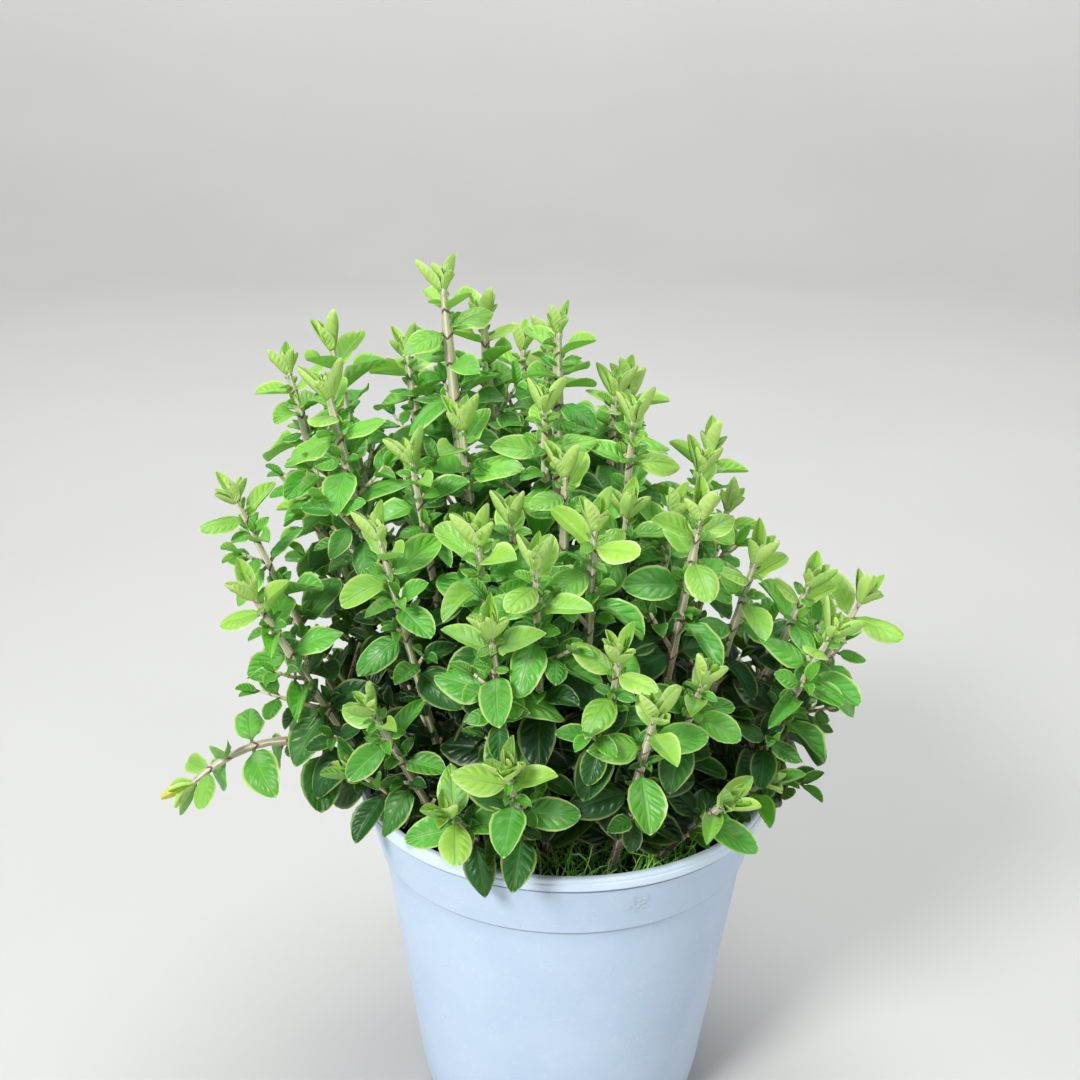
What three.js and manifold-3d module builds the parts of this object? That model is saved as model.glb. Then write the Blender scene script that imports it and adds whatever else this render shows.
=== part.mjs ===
// Sweet marjoram in a 13 cm plastic pot. Millimetres, +Z up, origin at the middle of the
// pot's base. -Y is the front of the plant.
import * as THREE from 'three';
import { mergeVertices } from 'three/addons/utils/BufferGeometryUtils.js';
import Module from 'manifold-3d';

const wasm = await Module();
wasm.setup();

// Pot
const rimRadius = 65;
const potHeight = 111;
const lipHeight = 4.2;
const lipOverhang = 1;
const collarHeight = 21.5;
const collarBottomRadius = 59.4;
const collarStep = 1;
const baseRadius = 45.5;
const footRounding = 2.5;
const wall = 1.8;
const rimWidth = 2.8;
const floorThickness = 2.4;
const potSides = 32;
const collarBottom = potHeight - collarHeight;
const wallTopRadius = collarBottomRadius - collarStep;
const lipInnerRadius = rimRadius - rimWidth - 0.3;
const drainHoles = 5;
const drainHoleRadius = 4.5;
const drainCircle = 30;

// Soil
const clearance = 0.3;
const testMargin = clearance + 0.15;
const soilHeight = 97;
const soilBumps = 1.6;
const soilDip = 2;
const soilRings = [42, 22];
const soilSides = 16;

// Stems: each stands on a share of its tip's distance from the pot's axis, less where it
// has to pass the rim
const plantHeight = 274;
const baseShare = 0.55;
const rimPass = 58.5;
const overRim = 2;
const stemBottomRadius = 1.75;
const stemTopRadius = 1.3;
const thinnestShare = 0.75;
const plantDepth = 8;
const stemSteps = 3;
const stemSag = -6;
const lowStemRise = 14;

// Leaves
const leafLength = 17.5;
const halfWidth = 0.33;
const grownWidths = [[0.27, 0.9], [0.67, 0.9]];
const youngWidths = [[0.42, 1]];
const leafThickness = 0.9;
const leafyShare = 0.6;
const towardsLight = 0.6;
const faceUp = 0.8;
const faceOut = 0.75;
const faceOutFrom = 45;
const clearTurns = [[0, 0], [16, 0], [-16, 0], [0, 26], [0, -26], [16, 26], [16, -26], [-16, 26],
  [-16, -26], [34, 0], [-34, 0], [0, 50], [0, -50]];
const modelledPairs = [0, 1, 2, 4, 6];

// How far each tip's closed bud stands over the end of its stem
const budReach = 8.2;

// Where the buds on the front and the sides end: x, y, z
const frontTips = [
  [-38, 0, 274], [-27, 22, 260], [-74, 18, 252], [-71, -14, 245], [-89, 24, 243], [-101, -12, 212],
  [-94, -34, 190], [-54, -46, 213], [-46, -28, 230], [-32, -18, 237], [-17, -42, 217], [-26, -54, 215],
  [-51, 20, 250], [-4, 8, 260], [-8, -18, 243], [14, 14, 240], [18, -18, 240], [-2, -36, 229],
  [40, -4, 221], [6, -56, 220], [16, -32, 216], [36, -46, 220], [30, -26, 214], [55, -28, 201],
  [74, -16, 189], [93, -6, 180], [-10, -68, 213], [78, -36, 181], [23, -78, 174], [38, -60, 177],
  [13, -70, 188], [-35, -78, 142], [-17, -84, 159], [-57, -60, 166], [-22, -71, 195], [47, -65, 139],
  [-67, -38, 134], [64, -38, 132]];

// The stem that has sunk over the rim on the left
const trailingTip = [-121, -27, 121];
const trailingRise = 42;
const trailingShare = 0.37;
const trailingSteps = 8;

// Rows of stems on the back: compass angles from and to, count, reach, height
const backRows = [
  { from: 22, to: 160, count: 6, reach: 90, height: 0.66 },
  { from: 38, to: 136, count: 4, reach: 62, height: 0.9 },
  { from: 62, to: 102, count: 2, reach: 36, height: 0.97 },
  { from: 8, to: 172, count: 6, reach: 82, height: 0.3 }];
const crownTop = 256;
const crownMiddle = -35;
const crownSlope = 0.0045;

// Thread-like weed on the soil
const runnerFrom = -108;
const runnerTo = -62;
const runnerReach = 51;
const runnerRadius = 0.6;
const runnerSteps = 6;
const runnerHeight = soilHeight + soilBumps + clearance + runnerRadius;
const threads = 16;
const threadLength = 13;
const threadRadius = 0.4;

const radians = THREE.MathUtils.degToRad;
const up = new THREE.Vector3(0, 0, 1);
const vector = (x, y, z) => new THREE.Vector3(x, y, z);
const around = (reach, degrees, z) =>
  vector(reach * Math.cos(radians(degrees)), reach * Math.sin(radians(degrees)), z);

// A repeatable random number from 0 to 1 for each plant part
function draw(a, b = 0, c = 0) {
  const s = Math.sin(a * 12.9898 + b * 78.233 + c * 37.719 + 4.1) * 43758.5453;
  return s - Math.floor(s);
}
const spread = (amount, a, b, c) => amount * (2 * draw(a, b, c) - 1);

function toSolid(geometry) {
  const bare = geometry.clone();
  bare.deleteAttribute('normal');
  bare.deleteAttribute('uv');
  const merged = mergeVertices(bare, 1e-4);
  return new wasm.Manifold(new wasm.Mesh({
    numProp: 3,
    vertProperties: new Float32Array(merged.attributes.position.array),
    triVerts: new Uint32Array(merged.index.array),
  }));
}

function toMesh(solid, name, color, roughness) {
  const { vertProperties, triVerts } = solid.getMesh();
  const geometry = new THREE.BufferGeometry();
  geometry.setAttribute('position', new THREE.BufferAttribute(new Float32Array(vertProperties), 3));
  geometry.setIndex(new THREE.BufferAttribute(new Uint32Array(triVerts), 1));
  geometry.computeVertexNormals();
  const material = new THREE.MeshStandardMaterial({ color, roughness, metalness: 0, flatShading: true });
  const mesh = new THREE.Mesh(geometry, material);
  mesh.name = name;
  return mesh;
}

// A closed skin over rings of points, each ring counterclockwise about the way forward.
// It starts and ends in a point where one is given, and flat otherwise.
function skin(rings, end, start) {
  const points = rings.flat();
  const sides = rings[0].length;
  const faces = [];
  for (let k = 0; k < rings.length - 1; k++) {
    for (let i = 0; i < sides; i++) {
      const a = k * sides + i;
      const b = k * sides + (i + 1) % sides;
      faces.push([a, b, b + sides], [a, b + sides, a + sides]);
    }
  }
  if (start) {
    for (let i = 0; i < sides; i++) faces.push([(i + 1) % sides, i, points.length]);
    points.push(start);
  } else {
    for (let i = 1; i < sides - 1; i++) faces.push([0, i + 1, i]);
  }
  const last = (rings.length - 1) * sides;
  if (end) {
    for (let i = 0; i < sides; i++) faces.push([last + i, last + (i + 1) % sides, points.length]);
    points.push(end);
  } else {
    for (let i = 1; i < sides - 1; i++) faces.push([last, last + i, last + i + 1]);
  }
  const geometry = new THREE.BufferGeometry().setFromPoints(points);
  geometry.setIndex(faces.flat());
  return geometry;
}

// A tube along points, with a radius at each. It is square unless told otherwise, with its
// first corner at the given turn from the sideways direction.
function tube(points, radii, sideways, turn = 0, sides = 4, end) {
  const rings = points.map((point, k) => {
    const forward = vector(0, 0, 0).subVectors(
      points[Math.min(k + 1, points.length - 1)], points[Math.max(k - 1, 0)]).normalize();
    const across = sideways.clone().addScaledVector(forward, -sideways.dot(forward)).normalize();
    const other = vector(0, 0, 0).crossVectors(forward, across);
    return Array.from({ length: sides }, (_, i) => {
      const corner = radians(turn) + 2 * Math.PI * i / sides;
      return point.clone().addScaledVector(across, radii[k] * Math.cos(corner))
        .addScaledVector(other, radii[k] * Math.sin(corner));
    });
  });
  return skin(rings, end);
}

// The pot's inside: one slope up to the collar's lower edge, and a wider one to the lip
function innerRadius(z) {
  if (z < collarBottom) return baseRadius + (wallTopRadius - baseRadius) * z / collarBottom - wall;
  const share = (z - collarBottom) / (collarHeight - lipHeight);
  return THREE.MathUtils.lerp(wallTopRadius - wall, lipInnerRadius, share);
}

function makePot() {
  const lipBottom = potHeight - lipHeight;
  const profile = [
    [0, 0], [baseRadius - footRounding, 0], [baseRadius, footRounding],
    [wallTopRadius, collarBottom], [collarBottomRadius, collarBottom + 0.4],
    [rimRadius - lipOverhang, lipBottom], [rimRadius, lipBottom + 0.5],
    [rimRadius, potHeight - 0.8], [rimRadius - 0.8, potHeight],
    [rimRadius - rimWidth, potHeight], [lipInnerRadius, lipBottom],
    [innerRadius(collarBottom), collarBottom], [innerRadius(floorThickness), floorThickness],
    [0, floorThickness]];
  const body = new THREE.LatheGeometry(profile.map(([r, z]) => new THREE.Vector2(r, z)), potSides);
  body.rotateX(Math.PI / 2);
  let pot = toSolid(body);
  for (let i = 0; i < drainHoles; i++) {
    const drill = new THREE.CylinderGeometry(drainHoleRadius, drainHoleRadius, 4 * floorThickness, 12);
    drill.rotateX(Math.PI / 2);
    const place = around(drainCircle, 360 * i / drainHoles, floorThickness / 2);
    drill.translate(place.x, place.y, place.z);
    pot = pot.subtract(toSolid(drill));
  }
  return pot;
}

// The soil fills the pot to a bumpy top, a gap's width clear of the wall
function makeSoil() {
  const ring = (radius, height) => Array.from({ length: soilSides }, (_, i) =>
    around(radius, 360 * i / soilSides, height(i)));
  const atWall = [floorThickness + clearance, collarBottom, soilHeight - soilDip];
  const rings = atWall.map(z => ring(innerRadius(z) - clearance, () => z));
  for (const radius of soilRings) rings.push(ring(radius, i => soilHeight + spread(soilBumps, i, radius)));
  return toSolid(skin(rings, vector(0, 0, soilHeight)));
}

// A stem's middle line: it leans out in its own upright plane through the pot's axis. A high
// stem sags and turns up at its end, and a low one bows up over the pot's rim.
function stemCurve(shoot) {
  const top = vector(...shoot.tip);
  const reach = Math.hypot(top.x, top.y);
  const atRim = (potHeight + overRim - soilHeight) / (top.z - soilHeight);
  const share = shoot.share ?? Math.min(baseShare, (rimPass / reach - atRim) / (1 - atRim));
  const base = vector(top.x * share, top.y * share, soilHeight);
  const tip = top.clone().addScaledVector(top.clone().sub(base).normalize(), -budReach);
  const middle = base.clone().lerp(tip, 0.5);
  const low = (plantHeight - top.z) / (plantHeight - potHeight);
  shoot.rise ??= stemSag + lowStemRise * low * low;
  middle.z += shoot.rise;
  return new THREE.QuadraticBezierCurve3(base, middle, tip);
}

const stemRadius = (shoot, along) =>
  shoot.width * THREE.MathUtils.lerp(stemBottomRadius, stemTopRadius, along);

// The stem runs in a few straight steps along its curve, from its planted end up
function stemSolid(shoot) {
  const points = [shoot.planted, ...shoot.line.slice(1)];
  const radii = points.map((_, k) => stemRadius(shoot, k / (points.length - 1)));
  return toSolid(tube(points, radii, shoot.sideways, shoot.roll - 45));
}

// The place and the direction of the stem at a distance below its tip
function stemAt(shoot, down) {
  const { line, curve } = shoot;
  let step = line.length - 1;
  let rest = down;
  while (step > 1 && rest > line[step].distanceTo(line[step - 1])) {
    rest -= line[step].distanceTo(line[step - 1]);
    step -= 1;
  }
  const share = Math.min(1, rest / line[step].distanceTo(line[step - 1]));
  const place = line[step].clone().lerp(line[step - 1], share);
  return { place, way: curve.getTangent((step - share) / (line.length - 1)) };
}

// The plug that cuts a stem's plain hole in the soil
function stemHole(shoot) {
  const way = shoot.line[1].clone().sub(shoot.planted).normalize();
  const ends = [-clearance, 2 * plantDepth].map(step => shoot.planted.clone().addScaledVector(way, step));
  const radius = shoot.width * stemBottomRadius + clearance * Math.SQRT2;
  return toSolid(tube(ends, [radius, radius], shoot.sideways, shoot.roll - 45));
}

// Pair i counted from the tip: how far down the stem it stands, its length and its tilt
const pairPlace = i => 0.6 + 4.4 * i + 0.85 * i * i;
const pairLength = i => leafLength * (1 - 0.36 * Math.exp(-i / 1.8));
const pairTilt = i => 76 * Math.exp(-i / 1.5) - 10;
const pairBend = i => 0.14 - 0.26 * Math.exp(-i / 1.5);
const pairLight = i => towardsLight * Math.min(1, 0.15 + i / 2.5);

// The turn that brings a leaf's face towards the sky and away from the plant's middle
function turnToLight(face, root, share) {
  const reach = Math.hypot(root.x, root.y);
  const sky = vector(root.x, root.y, 0).divideScalar(Math.max(reach, 1));
  sky.multiplyScalar(faceOut * Math.min(1, reach / faceOutFrom)).addScaledVector(up, faceUp).normalize();
  const whole = new THREE.Quaternion().setFromUnitVectors(face, sky);
  return new THREE.Quaternion().slerp(whole, share);
}

// One leaf: a blade with a flat top and a keel, grown from a point on the stem's middle line.
// Stems are square, and the leaves stand on their flat sides.
// The margin swells it all round, to test what it would touch.
function leafSolid(shoot, pair, side, [moreTilt, moreTurn], margin = 0) {
  const { place: root, way: stemWay } = stemAt(shoot, pairPlace(pair));
  const outward = vector(0, 0, 0).crossVectors(shoot.sideways, stemWay);
  const seed = [shoot.number, pair * 2 + side];
  const turn = radians(shoot.roll + 90 * pair + 180 * side + spread(14, ...seed, 1) + moreTurn);
  const tilt = radians(pairTilt(pair) + spread(9, ...seed, 2) + moreTilt);
  const length = pairLength(pair) * shoot.vigour * (1 + spread(0.1, ...seed, 3)) + margin;
  const radial = outward.multiplyScalar(Math.cos(turn)).addScaledVector(shoot.sideways, Math.sin(turn));
  const way = radial.multiplyScalar(Math.cos(tilt)).addScaledVector(stemWay, Math.sin(tilt));
  const face = stemWay.clone().multiplyScalar(0.6).addScaledVector(up, 0.6);
  face.addScaledVector(way, -face.dot(way)).normalize();
  const light = turnToLight(face, root, pairLight(pair));
  way.applyQuaternion(light);
  face.applyQuaternion(light);
  const across = vector(0, 0, 0).crossVectors(face, way);
  const spine = t => root.clone().addScaledVector(way, length * t)
    .addScaledVector(face, length * pairBend(pair) * 2 * t * (1 - t));
  const ring = (t, half, thick) => {
    const points = [spine(t).addScaledVector(across, -half - margin),
      spine(t).addScaledVector(face, -thick - margin), spine(t).addScaledVector(across, half + margin)];
    if (margin > 0) points.push(spine(t).addScaledVector(face, margin));
    return points;
  };
  const widths = pair > 1 ? grownWidths : youngWidths;
  const rings = widths.map(([t, width]) => ring(t, length * halfWidth * width, leafThickness));
  return toSolid(skin(rings, spine(1), spine(0)));
}

function makeShoots() {
  const tips = frontTips.map(tip => ({ tip }));
  tips.push({ tip: trailingTip, rise: trailingRise, share: trailingShare });
  for (const [row, { from, to, count, reach, height }] of backRows.entries()) {
    for (let i = 0; i < count; i++) {
      const angle = from + (to - from) * i / (count - 1) + spread(4, row, i, 5);
      const place = around(reach + spread(4, row, i, 6), angle, 0);
      const ridge = crownTop - crownSlope * (place.x - crownMiddle) ** 2 - potHeight;
      tips.push({ tip: [place.x, place.y, potHeight + ridge * height + spread(5, row, i, 7)] });
    }
  }
  return tips.map(({ tip, rise, share }, number) => {
    const shoot = { tip, rise, share, number, sideways: vector(-tip[1], tip[0], 0).normalize() };
    shoot.curve = stemCurve(shoot);
    shoot.line = shoot.curve.getPoints(rise ? trailingSteps : stemSteps);
    shoot.planted = shoot.line[0].clone().addScaledVector(shoot.curve.getTangent(0), -plantDepth);
    shoot.length = shoot.curve.getLength();
    shoot.width = THREE.MathUtils.clamp(shoot.length / 160, thinnestShare, 1);
    shoot.roll = 360 * draw(number, 8);
    shoot.vigour = 1 + spread(0.08, number, 9);
    return shoot;
  });
}

// What stands already, so that what grows next can keep clear of it
const placed = [];

function boxOf(solid) {
  const { min, max } = solid.boundingBox();
  return new THREE.Box3(vector(...min), vector(...max));
}

const remember = (solid, owner) => placed.push({ solid, owner, box: boxOf(solid) });

function isClear(solid, owner) {
  const box = boxOf(solid);
  return !placed.some(other => other.owner !== owner && other.box.intersectsBox(box)
    && !other.solid.intersect(solid).isEmpty());
}

// Leaves grow from the tips downwards. Each takes the first of a few tilts and turns that
// keeps it clear of everything placed before it, and is left off where none does.
function growLeaves(shoots) {
  for (const pair of modelledPairs) {
    for (const shoot of shoots) {
      if (pairPlace(pair) > shoot.length * leafyShare) continue;
      for (const side of [0, 1]) {
        const turns = clearTurns.find(pick =>
          isClear(leafSolid(shoot, pair, side, pick, testMargin), shoot.number));
        if (!turns) continue;
        const leaf = leafSolid(shoot, pair, side, turns);
        shoot.parts.push(leaf);
        remember(leaf, shoot.number);
      }
    }
  }
}

const onRunner = (share, z) =>
  around(runnerReach, THREE.MathUtils.lerp(runnerFrom, runnerTo, share), z);

// The runner's rooted peg, or with extra all round the hole that it stands in
function pegSolid(extra = 0) {
  const ends = [runnerHeight - plantDepth - extra, runnerHeight].map(z => onRunner(0.5, z));
  const radius = runnerRadius + extra * Math.SQRT2;
  return toSolid(tube(ends, [radius, radius], vector(0, 1, 0)));
}

// A creeping runner just above the soil with threads that keep clear of stems and pot
function makeWeed() {
  const line = Array.from({ length: runnerSteps + 1 }, (_, k) => onRunner(k / runnerSteps, runnerHeight));
  const parts = [pegSolid(), toSolid(tube(line, line.map(() => runnerRadius), up))];
  for (let i = 0; i < threads; i++) {
    const root = onRunner((i + 0.5) / threads, runnerHeight);
    const lean = radians(40 + 40 * draw(i, 3));
    const way = around(Math.cos(lean), 360 * draw(i, 4), Math.sin(lean));
    const length = threadLength * (0.6 + 0.5 * draw(i, 5));
    const knee = root.clone().addScaledVector(way, length * 0.55);
    const end = knee.clone().addScaledVector(way, length * 0.45).addScaledVector(up, -length * 0.12);
    const thread = radius => toSolid(tube([root, knee], [radius, radius], vector(0, 1, 0), 0, 3, end));
    if (isClear(thread(threadRadius + testMargin))) parts.push(thread(threadRadius));
  }
  return wasm.Manifold.union(parts);
}

const pot = makePot();
let soil = makeSoil().subtract(pegSolid(clearance));
const shoots = makeShoots();
for (const shoot of shoots) {
  soil = soil.subtract(stemHole(shoot));
  shoot.parts = [stemSolid(shoot)];
  remember(shoot.parts[0], shoot.number);
}
remember(pot);
const weed = makeWeed();
remember(weed);
remember(soil);
growLeaves(shoots);

const plant = new THREE.Group();
plant.add(toMesh(pot, 'pot', 0xc9dbe2, 0.55));
plant.add(toMesh(soil, 'root_ball', 0x2b2119, 0.95));
plant.add(toMesh(weed, 'weed', 0x6fb52a, 0.6));
for (const shoot of shoots) {
  const name = `shoot_${String(shoot.number + 1).padStart(2, '0')}`;
  plant.add(toMesh(wasm.Manifold.union(shoot.parts), name, 0x7fb04a, 0.7));
}

export default plant;
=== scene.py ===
import math
from types import SimpleNamespace

import bpy
import numpy as np
from mathutils import Matrix, Vector


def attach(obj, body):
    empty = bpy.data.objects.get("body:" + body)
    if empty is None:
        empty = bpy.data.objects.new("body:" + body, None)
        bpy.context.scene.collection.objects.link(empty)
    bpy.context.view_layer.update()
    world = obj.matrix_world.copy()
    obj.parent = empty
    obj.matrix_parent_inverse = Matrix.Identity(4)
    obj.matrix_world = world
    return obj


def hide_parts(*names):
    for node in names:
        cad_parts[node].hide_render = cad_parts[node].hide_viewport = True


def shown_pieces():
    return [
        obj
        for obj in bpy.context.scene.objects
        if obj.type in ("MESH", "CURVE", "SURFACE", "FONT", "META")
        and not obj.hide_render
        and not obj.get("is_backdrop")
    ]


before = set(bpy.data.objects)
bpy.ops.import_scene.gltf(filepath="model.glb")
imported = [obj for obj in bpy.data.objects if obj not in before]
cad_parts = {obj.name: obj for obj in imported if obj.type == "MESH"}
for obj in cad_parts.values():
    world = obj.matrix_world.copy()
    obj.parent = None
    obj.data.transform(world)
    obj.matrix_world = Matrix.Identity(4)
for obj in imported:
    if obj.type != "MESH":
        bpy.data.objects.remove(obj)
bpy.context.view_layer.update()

mm = 0.001  # everything below is worked out in millimetres and made in metres
up = np.array([0.0, 0.0, 1.0])


# Small helpers

def draw(a, b=0, c=0):  # the CAD source's own repeatable random number from 0 to 1
    s = math.sin(a * 12.9898 + b * 78.233 + c * 37.719 + 4.1) * 43758.5453
    return s - math.floor(s)


def spread(amount, a, b=0, c=0):
    return amount * (2 * draw(a, b, c) - 1)


def unit(v):
    return v / np.linalg.norm(v)


def clamp(value, low, high):
    return max(low, min(high, value))


def around(reach, degrees, z=0.0):
    angle = math.radians(degrees)
    return np.array([reach * math.cos(angle), reach * math.sin(angle), z])


def jitter(rng, most):
    return rng.uniform(-most, most)


def newPiece(name, data):
    piece = bpy.data.objects.new(name, data)
    bpy.context.scene.collection.objects.link(piece)
    return piece


def ringFaces(count, sides):
    # The walls between rings of points, and fans to one point at each end
    index = np.arange(count * sides).reshape(count, sides)
    after = np.roll(index, -1, axis=1)
    walls = np.stack([index[:-1], after[:-1], after[1:], index[1:]], 2).reshape(-1, 4)
    first = np.full(sides, count * sides)
    ends = np.concatenate([
        np.stack([after[0], index[0], first], 1), np.stack([index[-1], after[-1], first + 1], 1)])
    return walls, ends


class MeshParts:
    # Collects points, faces and their values until one object is made of them
    def __init__(self):
        self.points, self.place, self.margin = [], [], []
        self.faces, self.growth, self.slots = [], [], []
        self.count = 0

    def add(self, points, faceLists, place, growth, slot=0, margin=None):
        self.points.append(points)
        self.place.append(place)
        self.margin.append(np.zeros(len(points), bool) if margin is None else margin)
        for faces, values in faceLists:
            self.faces.append(faces + self.count)
            rows = np.tile(np.array(growth, float), (len(faces), 1))
            rows[:, 2] = values
            self.growth.append(rows)
            self.slots.append(np.full(len(faces), slot))
        self.count += len(points)

    def build(self, name, materials):
        points = np.concatenate(self.points) * mm
        sizes = np.concatenate([np.full(len(f), f.shape[1]) for f in self.faces])
        corners = np.concatenate([f.ravel() for f in self.faces])
        starts = np.concatenate([[0], np.cumsum(sizes)[:-1]])
        mesh = bpy.data.meshes.new(name)
        mesh.vertices.add(len(points))
        mesh.loops.add(len(corners))
        mesh.polygons.add(len(sizes))
        for target, key, values in (
                (mesh.vertices, "co", points.astype(np.float32).ravel()),
                (mesh.loops, "vertex_index", corners.astype(np.int32)),
                (mesh.polygons, "loop_start", starts.astype(np.int32)),
                (mesh.polygons, "material_index", np.concatenate(self.slots).astype(np.int32))):
            target.foreach_set(key, values)
        mesh.update(calc_edges=True)
        mesh.shade_smooth()
        self.sharpen(mesh)
        for key, domain, values in (("place", "POINT", self.place),
                                    ("growth", "FACE", self.growth)):
            data = mesh.attributes.new(key, "FLOAT_VECTOR", domain).data
            data.foreach_set("vector", np.concatenate(values).astype(np.float32).ravel())
        for material in materials:
            mesh.materials.append(material)
        return newPiece(name, mesh)

    def sharpen(self, mesh):  # the blades' margins
        onMargin = np.concatenate(self.margin)
        if not onMargin.any():
            return
        ends = np.zeros(2 * len(mesh.edges), np.int32)
        mesh.edges.foreach_get("vertices", ends)
        sharp = onMargin[ends.reshape(-1, 2)].all(1)
        mesh.attributes.new("sharp_edge", "BOOLEAN", "EDGE").data.foreach_set("value", sharp)


# Stems: the same rule as in the CAD source

stems = {
    "plantHeight": 274, "potHeight": 111, "soilHeight": 97,
    "baseShare": 0.55, "rimPass": 58.5, "overRim": 2,
    "bottomRadius": 1.75, "topRadius": 1.3, "tipTaper": 0.3, "taperOver": 12,
    "thinnest": 0.75, "fullLength": 160,
    "depth": 8, "steps": 3, "sag": -6, "lowRise": 14,
    "leafyShare": 0.6, "budReach": 8.2, "vigour": 0.08,
    "coat": 1.16, "coatFrom": 0.6,  # the down on a stem makes it look thicker
    "leastGap": 0.45, "nodeRings": (-1.3, -0.45, 0.45),  # between rings, and of rings from a node
    "waist": 0.92, "swelling": 0.24,
}

frontTips = [
    (-38, 0, 274), (-27, 22, 260), (-74, 18, 252), (-71, -14, 245), (-89, 24, 243),
    (-101, -12, 212), (-94, -34, 190), (-54, -46, 213), (-46, -28, 230), (-32, -18, 237),
    (-17, -42, 217),
    (-26, -54, 215), (-51, 20, 250), (-4, 8, 260), (-8, -18, 243), (14, 14, 240), (18, -18, 240),
    (-2, -36, 229), (40, -4, 221), (6, -56, 220), (16, -32, 216), (36, -46, 220), (30, -26, 214),
    (55, -28, 201), (74, -16, 189), (93, -6, 180), (-10, -68, 213), (78, -36, 181), (23, -78, 174),
    (38, -60, 177), (13, -70, 188), (-35, -78, 142), (-17, -84, 159), (-57, -60, 166),
    (-22, -71, 195), (47, -65, 139), (-67, -38, 134), (64, -38, 132)]

trailing = {"tip": (-121, -27, 121), "rise": 42, "share": 0.37, "steps": 8, "number": 38,
            "yellowed": (0, 0)}  # its one yellow leaf, by pair and side

backRows = [  # compass angles from and to, count, reach, height
    {"from": 22, "to": 160, "count": 6, "reach": 90, "height": 0.66},
    {"from": 38, "to": 136, "count": 4, "reach": 62, "height": 0.9},
    {"from": 62, "to": 102, "count": 2, "reach": 36, "height": 0.97},
    {"from": 8, "to": 172, "count": 6, "reach": 82, "height": 0.3}]
crown = {"top": 256, "middle": -35, "slope": 0.0045, "scatter": 4, "heightScatter": 5}


def curvePoint(stem, t):
    a, b, c = stem.bend
    return a * (1 - t) ** 2 + b * 2 * t * (1 - t) + c * t * t


def curveWay(stem, t):
    a, b, c = stem.bend
    return unit((b - a) * (1 - t) + (c - b) * t)


def curveLength(stem, steps=200):
    points = np.array([curvePoint(stem, i / steps) for i in range(steps + 1)])
    return float(np.linalg.norm(np.diff(points, axis=0), axis=1).sum())


def growStem(number, tip, rise=None, share=None, steps=stems["steps"]):
    top = np.array(tip, float)  # of the bud, over the stem's own end
    reach = math.hypot(top[0], top[1])
    soil = stems["soilHeight"]
    atRim = (stems["potHeight"] + stems["overRim"] - soil) / (top[2] - soil)
    if share is None:
        share = min(stems["baseShare"], (stems["rimPass"] / reach - atRim) / (1 - atRim))
    base = np.array([top[0] * share, top[1] * share, soil])
    tip = top - unit(top - base) * stems["budReach"]
    middle = (base + tip) / 2
    low = (stems["plantHeight"] - top[2]) / (stems["plantHeight"] - stems["potHeight"])
    middle[2] += stems["sag"] + stems["lowRise"] * low * low if rise is None else rise
    stem = SimpleNamespace(number=number, tip=tip, bend=(base, middle, tip), steps=steps)
    stem.sideways = unit(np.array([-top[1], top[0], 0.0]))
    stem.length = curveLength(stem)
    stem.width = clamp(stem.length / stems["fullLength"], stems["thinnest"], 1)
    stem.roll = 360 * draw(number, 8)
    stem.vigour = 1 + spread(stems["vigour"], number, 9)
    return stem


def growStems():
    tips = [{"tip": tip} for tip in frontTips]
    tips.append({key: trailing[key] for key in ("tip", "rise", "share", "steps")})
    for row, r in enumerate(backRows):
        for i in range(r["count"]):
            angle = r["from"] + (r["to"] - r["from"]) * i / (r["count"] - 1)
            angle += spread(crown["scatter"], row, i, 5)
            place = around(r["reach"] + spread(crown["scatter"], row, i, 6), angle)
            ridge = crown["top"] - crown["slope"] * (place[0] - crown["middle"]) ** 2
            height = stems["potHeight"] + (ridge - stems["potHeight"]) * r["height"]
            height += spread(crown["heightScatter"], row, i, 7)
            tips.append({"tip": (place[0], place[1], height)})
    return [growStem(number, **tip) for number, tip in enumerate(tips)]


def alongStem(stem, down):  # place on the CAD stem's straight steps, and the curve's t there
    line = [curvePoint(stem, i / stem.steps) for i in range(stem.steps + 1)]
    step, rest = stem.steps, down
    while step > 1 and rest > np.linalg.norm(line[step] - line[step - 1]):
        rest -= np.linalg.norm(line[step] - line[step - 1])
        step -= 1
    share = min(1, rest / np.linalg.norm(line[step] - line[step - 1]))
    return line[step] + (line[step - 1] - line[step]) * share, (step - share) / stem.steps


# Leaves

leaves = {
    "length": 17.5, "halfWidth": 0.295, "fuller": 1.07, "modelledPairs": (0, 1, 2, 4, 6),
    "thickness": 0.32, "petioleShare": 0.15, "petioleHalf": 0.55, "keel": 0.45,
    "extraShare": 0.94, "mostPairs": 12,
    "faceUp": 0.8, "faceOut": 0.75, "outFrom": 45, "toLight": 0.6,  # where faces turn, and how far
    "faceFront": 0.7, "mostRoll": 0.5,  # the light came from the front
    "turnSpread": 14, "tiltSpread": 9, "lengthSpread": 0.1,
}
clearTurns = [
    (0, 0), (16, 0), (-16, 0), (0, 26), (0, -26), (16, 26), (16, -26), (-16, 26), (-16, -26),
    (34, 0), (-34, 0), (0, 50), (0, -50)]  # tilt and turn, as the CAD leaves try them


pairRule = {  # by the number of pairs from the tip
    "first": 0.6, "step": 4.4, "widening": 0.85,
    "shorter": 0.36, "shorterPairs": 1.8,
    "tilt": 76, "droop": 10, "bend": 0.14, "budBend": 0.26, "tiltPairs": 1.5,
    "budLight": 0.15, "lightPairs": 2.5,
}


def pairPlace(i):
    return pairRule["first"] + pairRule["step"] * i + pairRule["widening"] * i * i


def pairLength(i):
    return leaves["length"] * (1 - pairRule["shorter"] * math.exp(-i / pairRule["shorterPairs"]))


def pairTilt(i):
    return pairRule["tilt"] * math.exp(-i / pairRule["tiltPairs"]) - pairRule["droop"]


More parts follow.
